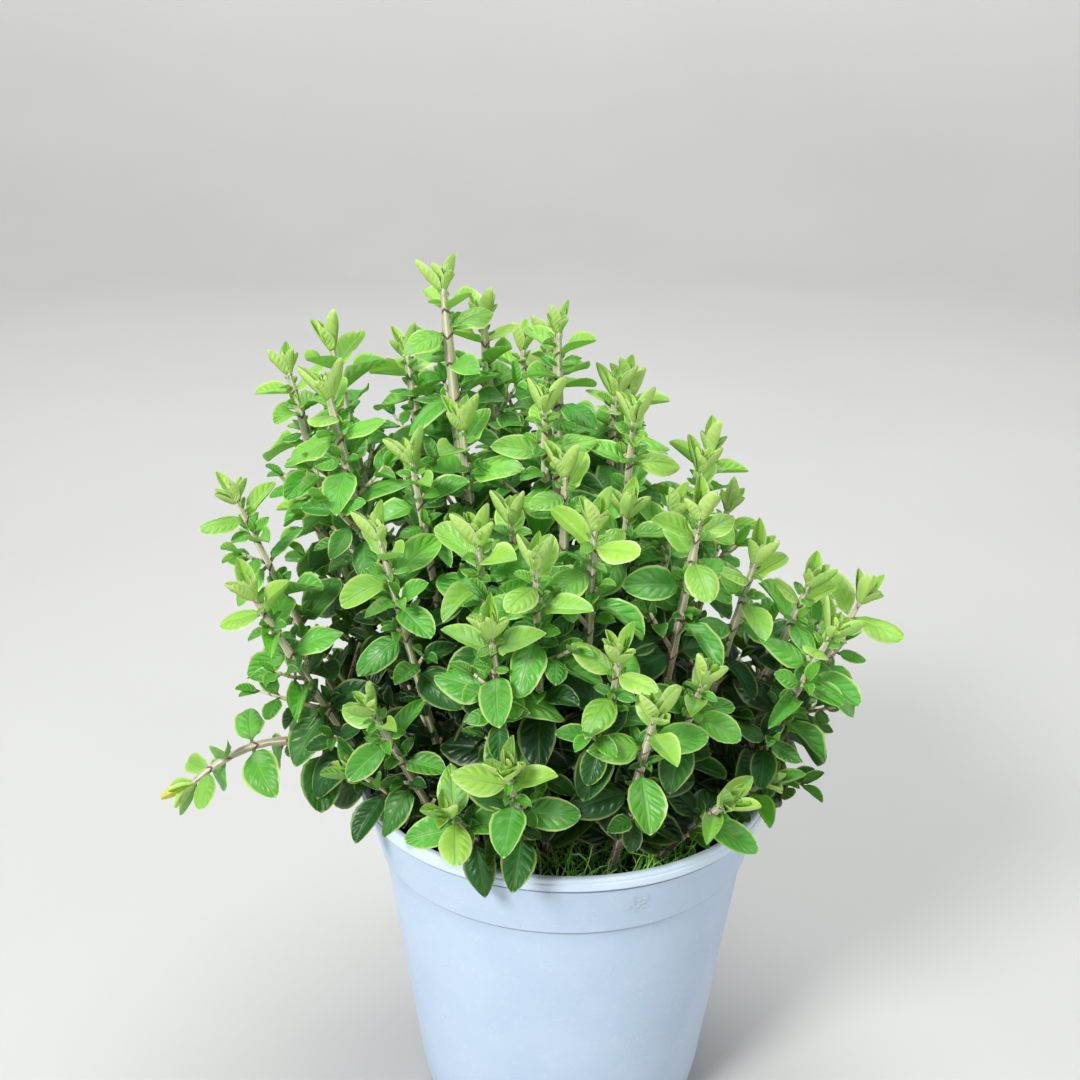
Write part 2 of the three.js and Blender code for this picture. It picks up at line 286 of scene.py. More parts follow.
def pairBend(i):
    return pairRule["bend"] - pairRule["budBend"] * math.exp(-i / pairRule["tiltPairs"])


def pairLight(i):
    return leaves["toLight"] * min(1, pairRule["budLight"] + i / pairRule["lightPairs"])


def radialWay(stemWay, sideways, turn):
    return np.cross(sideways, stemWay) * math.cos(turn) + sideways * math.sin(turn)


def newLeaf(root, stemWay, sideways, turn, tilt, length, bend):
    way = radialWay(stemWay, sideways, turn) * math.cos(tilt) + stemWay * math.sin(tilt)
    face = stemWay * 0.6 + up * 0.6
    face = unit(face - way * face.dot(way))
    return SimpleNamespace(root=root, way=way, face=face, across=np.cross(face, way),
                           length=length, bend=bend)


def turned(v, axis, angle):
    c, s = math.cos(angle), math.sin(angle)
    return v * c + np.cross(axis, v) * s + axis * axis.dot(v) * (1 - c)


def openSky(place):  # most light comes from above and from outside the plant
    reach = math.hypot(place[0], place[1])
    outward = np.array([place[0], place[1], 0.0]) / max(reach, 1)
    share = clamp(reach / leaves["outFrom"], 0, 1)
    return up * leaves["faceUp"] + outward * leaves["faceOut"] * share


def turnToLight(leaf, share, front=0.0):
    sky = unit(openSky(leaf.root) - np.array([0, front, 0]))
    axis = np.cross(leaf.face, sky)
    size = np.linalg.norm(axis)
    if size > 0.01:
        angle = math.atan2(size, leaf.face.dot(sky)) * share
        leaf.way, leaf.face, leaf.across = (turned(v, axis / size, angle)
                                            for v in (leaf.way, leaf.face, leaf.across))
    return leaf


def pairLeaf(stem, pair, side, moreTilt=0, moreTurn=0):
    place, t = alongStem(stem, pairPlace(pair))
    seed = (stem.number, pair * 2 + side)
    turn = stem.roll + 90 * pair + 180 * side + spread(leaves["turnSpread"], *seed, 1) + moreTurn
    tilt = pairTilt(pair) + spread(leaves["tiltSpread"], *seed, 2) + moreTilt
    length = pairLength(pair) * stem.vigour * (1 + spread(leaves["lengthSpread"], *seed, 3))
    leaf = newLeaf(place, curveWay(stem, t), stem.sideways, math.radians(turn),
                   math.radians(tilt), length, pairBend(pair))
    leaf.pair, leaf.t = pair, t
    turnToLight(leaf, pairLight(pair))
    leaf.end = place + leaf.way * length
    return leaf


clearing = {  # where the weed shows
    "left": -12, "right": 40, "back": -20, "front": -55, "top": 119, "rise": 0.45,
}


def inClearing(points):
    c = clearing
    x, y, z = points[..., 0], points[..., 1], points[..., 2]
    below = z < c["top"] - c["rise"] * (y - c["front"])
    return (x > c["left"]) & (x < c["right"]) & (y < c["back"]) & below


crowding = {"most": 60000, "near": 22, "enough": 4.5, "least": 0.4}


class Crowd:
    # Where leaves and stems are, so that each new leaf turns to where there is room
    def __init__(self):
        self.points = np.zeros((crowding["most"], 3))
        self.owners = np.full(crowding["most"], -1)
        self.count = 0

    def add(self, points, owner):
        end = self.count + len(points)
        self.points[self.count:end] = points
        self.owners[self.count:end] = owner
        self.count = end

    def room(self, points, owner):
        near = self.points[:self.count]
        close = (np.abs(near - points.mean(0)) < crowding["near"]).all(1)
        near = near[close & (self.owners[:self.count] != owner)]
        room = crowding["enough"]
        if len(near):
            room = min(room, np.sqrt(((near[:, None] - points[None]) ** 2).sum(2)).min())
        return min(room, potRoom(points))

    def shade(self, place):  # painted shade: 0 in the open, 1 far inside among the other leaves
        s = shading
        away = self.points[:self.count] - place
        far = np.sqrt((away ** 2).sum(1))
        above = away @ unit(openSky(place)) > s["cone"] * far
        above &= (far > s["nearest"]) & (far < s["farthest"])
        share = clamp((above.sum() - s["open"]) / s["span"], 0, 1)
        share *= 1 - s["spared"] * clamp((math.hypot(*place[:2]) - s["outside"]) / s["over"], 0, 1)
        return share * clamp(s["most"] - (place[2] - s["low"]) / s["rise"], s["least"], 1)


# Painted shade: a leaf with many other leaves above it gets a darker colour, carried in its age
# value
shading = {
    "nearest": 5, "farthest": 50, "cone": 0.72,  # which points shade a leaf
    "open": 4, "span": 42,  # the counts of them that give no shade, and from there to full shade
    "low": 124, "rise": 105, "most": 1.25, "least": 0.28,  # less of it high up
    "outside": 58, "over": 20, "spared": 0.45,  # those that hang over the rim stay lighter
    "oldBelow": 178, "oldOver": 55, "oldShare": 0.28,  # and the low leaves are the old ones, darker from age and from painted shade
    "dark": 0.95, "toDark": 0.75, "deeper": 0.55,
}


potSpace = {"overRim": 1.5, "wallMiddle": 62, "wallHalf": 3.5, "overSoil": 1, "most": 9.0}


def potRoom(points):  # how far points keep off the pot's wall, the soil and the weed's clearing
    room = -1.0 if inClearing(points).any() else potSpace["most"]
    reach = np.hypot(points[:, 0], points[:, 1])
    inPot = points[:, 2] < potShape["height"] + potSpace["overRim"]
    if inPot.any():
        toWall = np.abs(reach[inPot] - potSpace["wallMiddle"]) - potSpace["wallHalf"]
        room = min(room, toWall.min())
        inside = inPot & (reach < potSpace["wallMiddle"])
        if inside.any():
            toSoil = points[inside, 2] - soilShape["height"] - potSpace["overSoil"]
            room = min(room, toSoil.min())
    return room


def leafPoints(leaf):
    shares = np.array([0.35, 0.6, 0.85])[:, None]
    middle = leaf.root + leaf.way * leaf.length * shares
    return middle + leaf.face * leaf.length * leaf.bend * 2 * shares * (1 - shares)


def footFaces(above, below):  # the foot of the stalk, where the two grids differ in their columns
    if len(above) == len(below):
        return []
    faces = []
    for left, right in zip(below[:-1], below[1:]):
        first, last = list(above).index(left), list(above).index(right)
        faces += [(left, above[i + 1], above[i + 2]) for i in range(first, last - 1)]
    return [(np.array(faces), 1)] if faces else []


def bladeLayout(v, u, below):
    # Index lists of one blade: a top grid, an underside with fewer columns that shares its margin,
    # and one point at the tip
    rows, columns = len(v), len(u)
    grid = np.arange(rows * columns).reshape(rows, columns)
    tip = rows * columns
    inner = list(below)[1:-1]
    under = grid[:, list(below)].copy()
    under[1:, 1:-1] = tip + 1 + np.arange((rows - 1) * len(inner)).reshape(rows - 1, len(inner))
    a, b, c, d = grid[:-1, :-1], grid[1:, :-1], grid[1:, 1:], grid[:-1, 1:]
    topFaces = np.stack([a, b, c, d], 2).reshape(-1, 4)
    a, b, c, d = under[:-1, :-1], under[:-1, 1:], under[1:, 1:], under[1:, :-1]
    underFaces = np.stack([a, b, c, d], 2).reshape(-1, 4)
    last, lastUnder = grid[-1], under[-1]
    topTip = np.stack([last[:-1], np.full(columns - 1, tip), last[1:]], 1)
    underTip = np.stack([lastUnder[1:], np.full(len(below) - 1, tip), lastUnder[:-1]], 1)
    margin = np.zeros(tip + 1 + (rows - 1) * len(inner), bool)
    margin[grid[:, 0]] = margin[grid[:, -1]] = margin[tip] = margin[grid[0]] = True
    faces = [(topFaces, 0), (underFaces, 1), (topTip, 0), (underTip, 1)]
    return SimpleNamespace(v=v, u=u, inner=inner, margin=margin,
                           faces=faces + footFaces(grid[0], under[0]))


bladeLayouts = {
    "large": bladeLayout(np.array([0, 0.08, 0.15, 0.22, 0.34, 0.48, 0.62, 0.76, 0.88, 0.95]),
                         np.array([-1, -0.62, -0.25, 0, 0.25, 0.62, 1]), (0, 1, 3, 5, 6)),
    "small": bladeLayout(np.array([0, 0.13, 0.26, 0.45, 0.65, 0.83, 0.94]),
                         np.array([-1, -0.5, 0, 0.5, 1]), (0, 2, 4)),
    "tiny": bladeLayout(np.array([0, 0.2, 0.5, 0.82]), np.array([-1, 0, 1]), (0, 1, 2)),
}
bladeCount = dict.fromkeys(bladeLayouts, 0)


blade = {
    "largeFrom": 9, "largeInside": 12, "smallFrom": 4.5,  # the lengths that get the finer layouts
    "fullStalk": 12, "stalkDepth": 1.7, "opensOver": 0.25,
    "dip": 0.022, "dipWidth": 0.2,  # the midrib lies in a groove above
    "fullKeel": 14, "keelWidth": 0.22, "keelTaper": 0.75,  # and stands out below
}


def addBlade(parts, leaf, age, tint, hidden=False):
    large, small = blade["largeInside" if hidden else "largeFrom"], blade["smallFrom"]
    size = "large" if leaf.length > large else "small" if leaf.length > small else "tiny"
    bladeCount[size] += 1
    layout = bladeLayouts[size]
    v, u = layout.v, layout.u
    length, curl, bend = leaf.length, leaf.curl, leaf.bend
    t = v[:, None]
    rise = bend * 2 * t * (1 - t) - curl * t ** 3
    middle = leaf.root + leaf.way * length * t + leaf.face * length * rise
    slope = bend * 2 * (1 - 2 * t) - 3 * curl * t ** 2
    along = leaf.way * length + leaf.face * length * slope
    along /= np.linalg.norm(along, axis=1)[:, None]
    turn = leaf.twist * t
    side = leaf.across * np.cos(turn) + np.cross(along, leaf.across) * np.sin(turn)
    normal = np.cross(along, side)
    s = np.clip((v - leaf.petiole) / (1 - leaf.petiole), 0, 1)
    low, high = leaf.shape
    widest = (low / (low + high)) ** low * (high / (low + high)) ** high
    stalkHalf = leaves["petioleHalf"] * min(1, length / blade["fullStalk"])
    half = length * leaf.halfWidth * s ** low * (1 - s) ** high / widest
    half = np.maximum(stalkHalf, half)[:, None]
    opened = np.clip(s / blade["opensOver"], 0, 1)[:, None]
    a, s = np.abs(u)[None, :], s[:, None]
    fold, cup = leaf.fold * opened, leaf.cup * opened + 1e-4
    across = half * (np.sin(fold + cup * a) - np.sin(fold)) / cup
    height = half * (np.cos(fold) - np.cos(fold + cup * a)) / cup
    wave = leaf.wave * np.sin(leaf.waves * t * math.pi + leaf.phase * np.sign(u)[None, :])
    height = height + wave * half * a ** 2 * opened
    height -= blade["dip"] * length * np.exp(-(a / blade["dipWidth"]) ** 2) * opened * (1 - s)
    grid = (middle[:, None, :] + side[:, None, :] * (np.sign(u)[None, :] * across)[:, :, None]
            + normal[:, None, :] * height[:, :, None])
    keel = leaves["keel"] * min(1, length / blade["fullKeel"]) * (1 - blade["keelTaper"] * s)
    rounded = np.sqrt(np.clip(1 - a ** 2, 0, 1))
    thick = leaves["thickness"] * rounded + keel * np.exp(-(a / blade["keelWidth"]) ** 2)
    thick = thick * opened + (1 - opened) * blade["stalkDepth"] * stalkHalf * rounded
    below = (grid - normal[:, None, :] * thick[:, :, None])[1:, layout.inner].reshape(-1, 3)
    end = leaf.root + leaf.way * length - leaf.face * length * curl
    points = np.concatenate([grid.reshape(-1, 3), end[None], below])
    place = np.stack(np.broadcast_arrays(u[None, :], t, 0 * a), 2)
    place = np.concatenate([place.reshape(-1, 3), [[0, 1, 0]],
                            place[1:, layout.inner].reshape(-1, 3)])
    parts.add(points, layout.faces, place, (age, tint, 0), 0, layout.margin)


bladeForms = {
    "low": (0.48, 0.64), "lowBud": 0.3, "high": (0.6, 0.86),  # how blunt it is at stalk and tip
    "stalkBud": 0.03, "width": (0.92, 1.08), "widthBud": 0.88,
    "curl": (-0.03, 0.14), "curlBud": 0.04, "twist": 0.55,
    "wave": (0.04, 0.27), "waves": (1.6, 3.4), "phase": (0, 3.1),
    "fold": (0.05, 0.3), "foldBud": 0.66, "cup": (0.1, 0.5), "formsFrom": 0.3,
    "boat": {"share": 0.2, "fold": 0.45, "cup": (0.6, 1.1), "curl": 0},  # its edges roll up
    "down": {"share": 0.55, "fold": 0.25, "cup": (-1.15, -0.5), "curl": 0.1},  # or turn down
    "towardsLight": 0.6, "roll": 0.25,
}


def shapeLeaf(leaf, rng, pair, wild=1.0):
    # What differs from leaf to leaf: the young are narrow and folded, the old spread and wave
    f = bladeForms
    grown = clamp((pair - 0.3) / 2.2, 0, 1)
    loose = grown * wild
    kind = rng.random()
    low = rng.uniform(*f["low"]) + f["lowBud"] * clamp(1 - pair / 1.3, 0, 1)
    leaf.shape = (low, rng.uniform(*f["high"]))
    longer = leaves["petioleShare"] - f["stalkBud"]
    leaf.petiole = f["stalkBud"] + longer * clamp(pair / 1.5, 0, 1)
    narrow = f["widthBud"] + (1 - f["widthBud"]) * clamp((pair + 0.3) / 0.8, 0, 1)
    leaf.halfWidth = leaves["halfWidth"] * rng.uniform(*f["width"]) * narrow
    leaf.curl = (rng.uniform(*f["curl"]) * grown - f["curlBud"] * (1 - grown)) * wild
    leaf.twist = jitter(rng, f["twist"]) * loose
    leaf.wave = rng.uniform(*f["wave"]) * loose
    leaf.waves = rng.uniform(*f["waves"])
    leaf.phase = rng.uniform(*f["phase"])
    leaf.fold = f["foldBud"] * (1 - grown) + rng.uniform(*f["fold"]) * grown
    leaf.cup = rng.uniform(*f["cup"])
    form = f["boat"] if kind < f["boat"]["share"] else f["down"]
    if grown > f["formsFrom"] and kind < form["share"]:
        leaf.fold, leaf.cup = form["fold"], rng.uniform(*form["cup"])
        leaf.curl += form["curl"]
    face, across = leaf.face, leaf.across
    light = up * leaves["faceUp"] - np.array([0, leaves["faceFront"], 0])
    towards = math.atan2(across.dot(light), face.dot(light)) * clamp(pair, 0.15, 1)
    roll = clamp(f["towardsLight"] * towards, -leaves["mostRoll"], leaves["mostRoll"])
    roll += jitter(rng, f["roll"]) * loose
    leaf.face = face * math.cos(roll) + across * math.sin(roll)
    leaf.across = across * math.cos(roll) - face * math.sin(roll)
    return leaf


def addTube(parts, points, radii, sideways, turn, place, growth, slot, squareness=0.09, sides=8):
    # A closed tube with a rounded square section
    n = len(points)
    forward = np.empty_like(points)
    forward[1:-1] = points[2:] - points[:-2]
    forward[0], forward[-1] = points[1] - points[0], points[-1] - points[-2]
    forward /= np.linalg.norm(forward, axis=1)[:, None]
    across = sideways - forward * (forward @ sideways)[:, None]
    across /= np.linalg.norm(across, axis=1)[:, None]
    other = np.cross(forward, across)
    angle = 2 * math.pi * np.arange(sides) / sides
    section = (1 - squareness) + squareness * np.cos(4 * angle)
    corner = angle + math.radians(turn)
    radius = radii[:, None] * section[None, :]
    ring = (points[:, None, :] + across[:, None, :] * (radius * np.cos(corner))[:, :, None]
            + other[:, None, :] * (radius * np.sin(corner))[:, :, None])
    walls, ends = ringFaces(n, sides)
    values = np.repeat(place, sides, axis=0)
    values = np.stack([np.tile(np.cos(2 * angle), n), values[:, 0], values[:, 1]], 1)
    endValues = np.array([[0, *place[0]], [0, *place[-1]]])
    parts.add(np.concatenate([ring.reshape(-1, 3), points[:1], points[-1:]]),
              [(walls, growth[2]), (ends, growth[2])],
              np.concatenate([values, endValues]), growth, slot)


hairs = {
    "perLength": 1.2, "length": (0.5, 1.15), "radius": 0.07, "thirds": (0, 2.094, 4.189),
    "lift": (-0.1, 0.25), "lean": (-0.5, 0.3), "foot": 0.8, "hairyShare": 0.6, "towardsTip": 1.2,
}


def addHairs(parts, roots, ways, lengths, rng):
    # Three-sided spikes, closed at the foot
    faces = np.array([[0, 1, 3], [1, 2, 3], [2, 0, 3], [0, 2, 1]])
    for root, way, length in zip(roots, ways, lengths):
        first = unit(np.cross(way, (0.31, 0.52, 0.79)))
        second = np.cross(way, first)
        foot = [root + hairs["radius"] * (first * math.cos(k) + second * math.sin(k))
                for k in hairs["thirds"]]
        tip = root + way * length + up * length * rng.uniform(*hairs["lift"])
        parts.add(np.array([*foot, tip]), [(faces, 1)], np.zeros((4, 3)), (0, 0, 1), 1)


def stemHairs(parts, stem, rng):
    count = int(stem.length * hairs["perLength"])
    t = 1 - rng.random(count) ** hairs["towardsTip"] * hairs["hairyShare"]
    angle = rng.random(count) * 2 * math.pi
    roots, ways = [], []
    for share, turn in zip(t, angle):
        way = curveWay(stem, share)
        across = unit(stem.sideways - way * way.dot(stem.sideways))
        out = across * math.cos(turn) + np.cross(way, across) * math.sin(turn)
        roots.append(curvePoint(stem, share) + out * (hairs["foot"] * stemRadius(stem, share)))
        ways.append(unit(out + way * rng.uniform(*hairs["lean"])))
    addHairs(parts, roots, ways, rng.uniform(*hairs["length"], count), rng)


def stemRadius(stem, share):
    fromTip = (1 - share) * stem.length / stems["taperOver"]
    taper = 1 - stems["tipTaper"] * clamp(1 - fromTip, 0, 1)
    radius = stems["bottomRadius"] + (stems["topRadius"] - stems["bottomRadius"]) * share
    coat = 1 + (stems["coat"] - 1) * clamp(share / stems["coatFrom"], 0, 1)
    return stem.width * taper * radius * coat


def addStem(parts, stem, nodes):
    # Rings at the swollen nodes and between them; place holds the count of nodes from the tip
    pairs = sorted(nodes)
    at = np.array([nodes[pair] for pair in pairs])
    shares = {-stems["depth"] / stem.length, 0.0, 1.0} | {i / 12 for i in range(13)}
    for node in at:
        shares |= {clamp(node + step / stem.length, 0.01, 1) for step in stems["nodeRings"]}
    shares = sorted(shares)
    kept = [shares[0]]
    for share in shares[1:]:
        if (share - kept[-1]) * stem.length > stems["leastGap"]:
            kept.append(share)
    points, radii, place = [], [], []
    for share in kept:
        points.append(curvePoint(stem, share) if share > 0 else
                      stem.bend[0] + curveWay(stem, 0) * share * stem.length)
        gap = np.abs(at - share).min() * stem.length
        swelling = stems["waist"] + stems["swelling"] * math.exp(-gap ** 2)
        radii.append(stemRadius(stem, max(share, 0)) * swelling)
        count = np.interp(share, at[::-1], np.array(pairs)[::-1])
        place.append((count + 0.08 * max(0, at[-1] - share) * stem.length, max(share, 0)))
    addTube(parts, np.array(points), np.array(radii), stem.sideways, stem.roll - 45,
            np.array(place), (0, stem.tint, 0), 1)


# Side shoots in the leaf axils: small tufts high up, branches with darker leaves low down

sideShoots = {
    "firstPair": 1, "share": 0.62, "shareGain": 0.07,
    "lean": 38, "leanHigh": 20, "wild": 14, "wildHigh": 6, "turn": 15, "lift": 0.15, "out": 0.4,
    "reach": (1.4, 3.0), "oldReach": 8, "least": 5.0, "most": 8.5, "oldGain": 1.5, "highShare": 0.8,
    "branchFrom": 3, "branchShare": 0.45, "branchReach": (7, 22), "branchLeaf": (10, 14.5),
    "branchLean": 12, "longFrom": 12, "stub": 2.5, "room": 0.3,
    "radii": (0.85, 0.7, 0.55), "closer": 1.15,
    "tilt": 68, "opening": 27, "tiltSpread": 10, "turnSpread": 0.3,
    "lengthSpread": (0.82, 1.14), "bend": (-0.05, 0.15),
}


def shootReach(pair, age, branch, rng):  # how far it goes, its pairs, and its longest leaf
    r = sideShoots
    if branch:
        reach = rng.uniform(*r["branchReach"]) * (0.5 if pair == r["branchFrom"] else 1)
        return reach, 2 + int(reach > r["longFrom"]), rng.uniform(*r["branchLeaf"])
    reach = rng.uniform(*r["reach"]) + age * rng.uniform(0, r["oldReach"]) * rng.random()
    longest = rng.uniform(r["least"], r["most"]) + r["oldGain"] * age
    return reach, 2, longest * (r["highShare"] if pair < 2 else 1)


def sideShoot(parts, stem, node, side, rng, crowd):
    r = sideShoots
    pair, t = node.pair, node.t
    older = pair - r["firstPair"]
    if older < 0 or rng.random() > r["share"] + r["shareGain"] * older:
        return
    stemWay = curveWay(stem, t)
    turn = math.radians(stem.roll + 90 * pair + 180 * side + jitter(rng, r["turn"]))
    radial = radialWay(stemWay, stem.sideways, turn)
    age = clamp((pair - 1) / 5, 0, 1)
    branch = pair >= r["branchFrom"] and rng.random() < r["branchShare"]
    lean, wild = (r["lean"], r["wild"]) if pair > 1 else (r["leanHigh"], r["wildHigh"])
    lean = math.radians(lean + (r["branchLean"] if branch else 0) + jitter(rng, wild))
    way = unit(stemWay * math.cos(lean) + radial * math.sin(lean) + up * r["lift"])
    root = curvePoint(stem, t) + stemWay * r["out"]
    reach, pairs, longest = shootReach(pair, age, branch, rng)
    end = root + way * reach
    if potRoom(np.array([root + way * reach * 0.5 + up * 4, end, end + way * 5])) < r["room"]:
        if branch:
            reach, pairs, branch = r["stub"], 1, False
        if inClearing(end):
            return
    sideways = unit(np.cross(way, radial + stemWay * 0.01))
    line = np.array([root, root + way * reach * 0.5, root + way * reach + up * reach * 0.05])
    addTube(parts, line, np.array(r["radii"]), sideways, 45,
            np.array([[0.5, t], [2.5, t], [0.5, 0.9]]), (0.3, stem.tint, 0), 1, sides=6)
    for k in range(pairs):
        place = line[2] + (line[0] - line[2]) * (k / pairs) ** r["closer"]
        length = longest * (min(1, 0.6 + 0.28 * k) if branch else 0.66 + 0.22 * k)
        tilt = math.radians(r["tilt"] - r["opening"] * k + jitter(rng, r["tiltSpread"]))
        for half in (0, 1):
            angle = math.pi * half + k * math.pi / 2 + jitter(rng, r["turnSpread"])
            leaf = newLeaf(place, way, sideways, angle, tilt,
                           length * rng.uniform(*r["lengthSpread"]), rng.uniform(*r["bend"]))
            turnToLight(leaf, 0.25 + 0.15 * k, leaves["faceFront"])
            shapeLeaf(leaf, rng, 0.8 + 0.8 * k, 0.8)
            leafAge = 0.12 + 0.1 * k + (0.05 * k if branch else 0) + 0.25 * age
            leafAge = shadedAge(leafAge, crowd, leaf.root + leaf.way * 5)
            addBlade(parts, leaf, leafAge, rng.random(), branch)


def shadedAge(age, crowd, place):  # painted shade: leaves among many others get darker colours, their age raised to 1.5 for the most shaded
    s = shading
    shade = crowd.shade(place)
    age += s["oldShare"] * clamp((s["oldBelow"] - place[2]) / s["oldOver"], 0, 1) * min(1, 4 * age)
    return age + max(s["dark"] - age, 0) * s["toDark"] * shade + s["deeper"] * shade ** 2


buds = {
    "lengths": (9.0, 7.6, 7.0, 5.6), "tilts": (55, 64, 44, 78),  # from the outer pair inwards
    "above": (-0.9, 0.0, 0.4, 0.8), "bend": -0.09,
    "turnSpread": 0.3, "tiltSpread": 8, "lengthSpread": (0.85, 1.15),
}


def budLeaves(parts, stem, rng):
    # The closed pairs at the very tip
    b = buds
    way = curveWay(stem, 1)
    for k, (length, tilt, above) in enumerate(zip(b["lengths"], b["tilts"], b["above"])):
        for half in (0, 1):
            angle = math.radians(stem.roll + 90 * (k + 1)) + math.pi * half
            angle += jitter(rng, b["turnSpread"])
            leafTilt = math.radians(tilt + jitter(rng, b["tiltSpread"]))
            leaf = newLeaf(stem.tip + way * above, way, stem.sideways, angle, leafTilt,
                           length * stem.vigour * rng.uniform(*b["lengthSpread"]), b["bend"])
            shapeLeaf(leaf, rng, max(0, 0.3 * (1 - k)))
            addBlade(parts, leaf, 0, rng.random())


# Pot

potShape = {
    "rimRadius": 65, "height": 111, "lipHeight": 4.2, "lipOverhang": 1, "collarHeight": 21.5,
    "collarBottomRadius": 59.4, "collarStep": 1, "baseRadius": 45.5, "footRounding": 2.5,
    "undercut": 0.5, "grooveBelow": 1.5, "grooveDepth": 0.4,
    "wall": 1.8, "rimWidth": 2.8, "rimStep": 0.3, "floor": 2.4, "sides": 144, "sharpAngle": 40,
    "holes": 5, "holeRadius": 4.5, "holeCircle": 30, "wallRings": 13, "collarRings": 5,
}

soilShape = {
    "height": 97, "gap": 0.3, "bumps": 1.3, "rings": 34, "sides": 110, "rough": 0.32,
    "crumbs": 260, "crumbReach": 55, "crumbSize": (0.5, 1.9),
    "wallRings": (30, 60), "edgeFrom": 46, "edgeOver": 12, "edgeDip": 1.6,
}


def innerRadius(z):
    p = potShape
    collarBottom = p["height"] - p["collarHeight"]
    topRadius = p["collarBottomRadius"] - p["collarStep"]
    if z < collarBottom:
        return p["baseRadius"] + (topRadius - p["baseRadius"]) * z / collarBottom - p["wall"]
    share = (z - collarBottom) / (p["collarHeight"] - p["lipHeight"])
    rimInside = p["rimRadius"] - p["rimWidth"] - p["rimStep"]
    return topRadius - p["wall"] + (rimInside - topRadius + p["wall"]) * share


def arc(middle, radius, start, end, steps):
    angles = np.radians(np.linspace(start, end, steps))
    return [(middle[0] + radius * math.cos(a), middle[1] + radius * math.sin(a)) for a in angles]


def between(start, end, count):  # the points on a straight line between two, without its ends
    return [tuple(a + (b - a) * k / count for a, b in zip(start, end)) for k in range(1, count)]


def potProfile():
    p = potShape
    top, lipBottom = p["height"], p["height"] - p["lipHeight"]
    collarBottom = top - p["collarHeight"]
    base, collar = p["baseRadius"], p["collarBottomRadius"]
    wallTop = collar - p["collarStep"]
    r, foot = p["rimRadius"], p["footRounding"]
    wallFoot = base + (wallTop - base) * foot / collarBottom
    profile = [(0, 0.7), (36, 0.7), (37, 0.1), (40, 0)]  # the base, a little hollow
    profile += arc((base - foot, foot), foot, -90, -6, 6)
    profile += between((wallFoot, foot), (wallTop, collarBottom), p["wallRings"])
    profile += [(wallTop, collarBottom - 0.25), (wallTop + 0.15, collarBottom)]
    profile += arc((collar - 0.35, collarBottom + 0.4), 0.4, -80, 0, 4)
    profile += between((collar, collarBottom + 0.5), (r - p["lipOverhang"], lipBottom),
                       p["collarRings"])
    under = r - p["lipOverhang"] - p["undercut"]  # a groove below the lip, and one along its face
    profile += [(under + 0.35, lipBottom - 0.9), (under, lipBottom - 0.35),
                (under + 0.1, lipBottom)]
    profile += arc((r - 0.6, lipBottom + 0.6), 0.6, -90, 10, 5)
    groove, depth = top - p["grooveBelow"], p["grooveDepth"]
    profile += [(r - 0.05, groove - 0.55), (r - depth, groove - 0.2), (r - depth, groove + 0.1),
                (r - 0.3, groove + 0.35)]
    profile += arc((r - 1.2, top - 0.95), 0.9, 5, 90, 5)
    profile += arc((r - p["rimWidth"] + 0.9, top - 0.9), 0.9, 90, 180, 5)
    profile += [(innerRadius(z), z) for z in (lipBottom, 100, collarBottom, 40, p["floor"] + 1.5)]
    return profile + [(innerRadius(p["floor"]) - 1.5, p["floor"]), (0, p["floor"])]


def lathe(name, profile, sides, sharpAngle):
    angles = 2 * math.pi * np.arange(sides) / sides
    rings, faces, points = [], [], []
    for r, z in profile:
        count = 1 if r == 0 else sides
        rings.append(list(range(len(points), len(points) + count)))
        points += [(r * math.cos(a), r * math.sin(a), z) for a in angles[:count]]
    for low, high in zip(rings[:-1], rings[1:]):
        for i in range(sides):
            j = (i + 1) % sides
            if len(low) == 1:
                faces.append((low[0], high[j], high[i]))
            elif len(high) == 1:
                faces.append((low[i], low[j], high[0]))
            else:
                faces.append((low[i], low[j], high[j], high[i]))
    mesh = bpy.data.meshes.new(name)
    mesh.from_pydata([tuple(mm * c for c in point) for point in points], [], faces)
    mesh.shade_smooth()
    mesh.set_sharp_from_angle(angle=math.radians(sharpAngle))
    return newPiece(name, mesh)


def keepApplied(piece):  # the modifiers' result becomes the piece's own mesh
    graph = bpy.context.evaluated_depsgraph_get()
    mesh = bpy.data.meshes.new_from_object(piece.evaluated_get(graph))
    piece.modifiers.clear()
    piece.data = mesh


def makePot():
    p = potShape
    pot = lathe("plastic_pot", potProfile(), p["sides"], p["sharpAngle"])
    drills = []
    for i in range(p["holes"]):
        place = around(p["holeCircle"], 360 * i / p["holes"])
        bpy.ops.mesh.primitive_cylinder_add(vertices=40, radius=p["holeRadius"] * mm, depth=0.02,
                                            location=tuple(place * mm))
        drills.append(bpy.context.object)
        cut = pot.modifiers.new("hole", "BOOLEAN")
        cut.object = drills[-1]
        cut.solver = "EXACT"
    keepApplied(pot)
    for drill in drills:
        bpy.data.objects.remove(drill)
    pot.data.materials.clear()
    pot.data.materials.append(potPlastic())
    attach(pot, "root")
    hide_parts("pot")
    return pot


# Materials

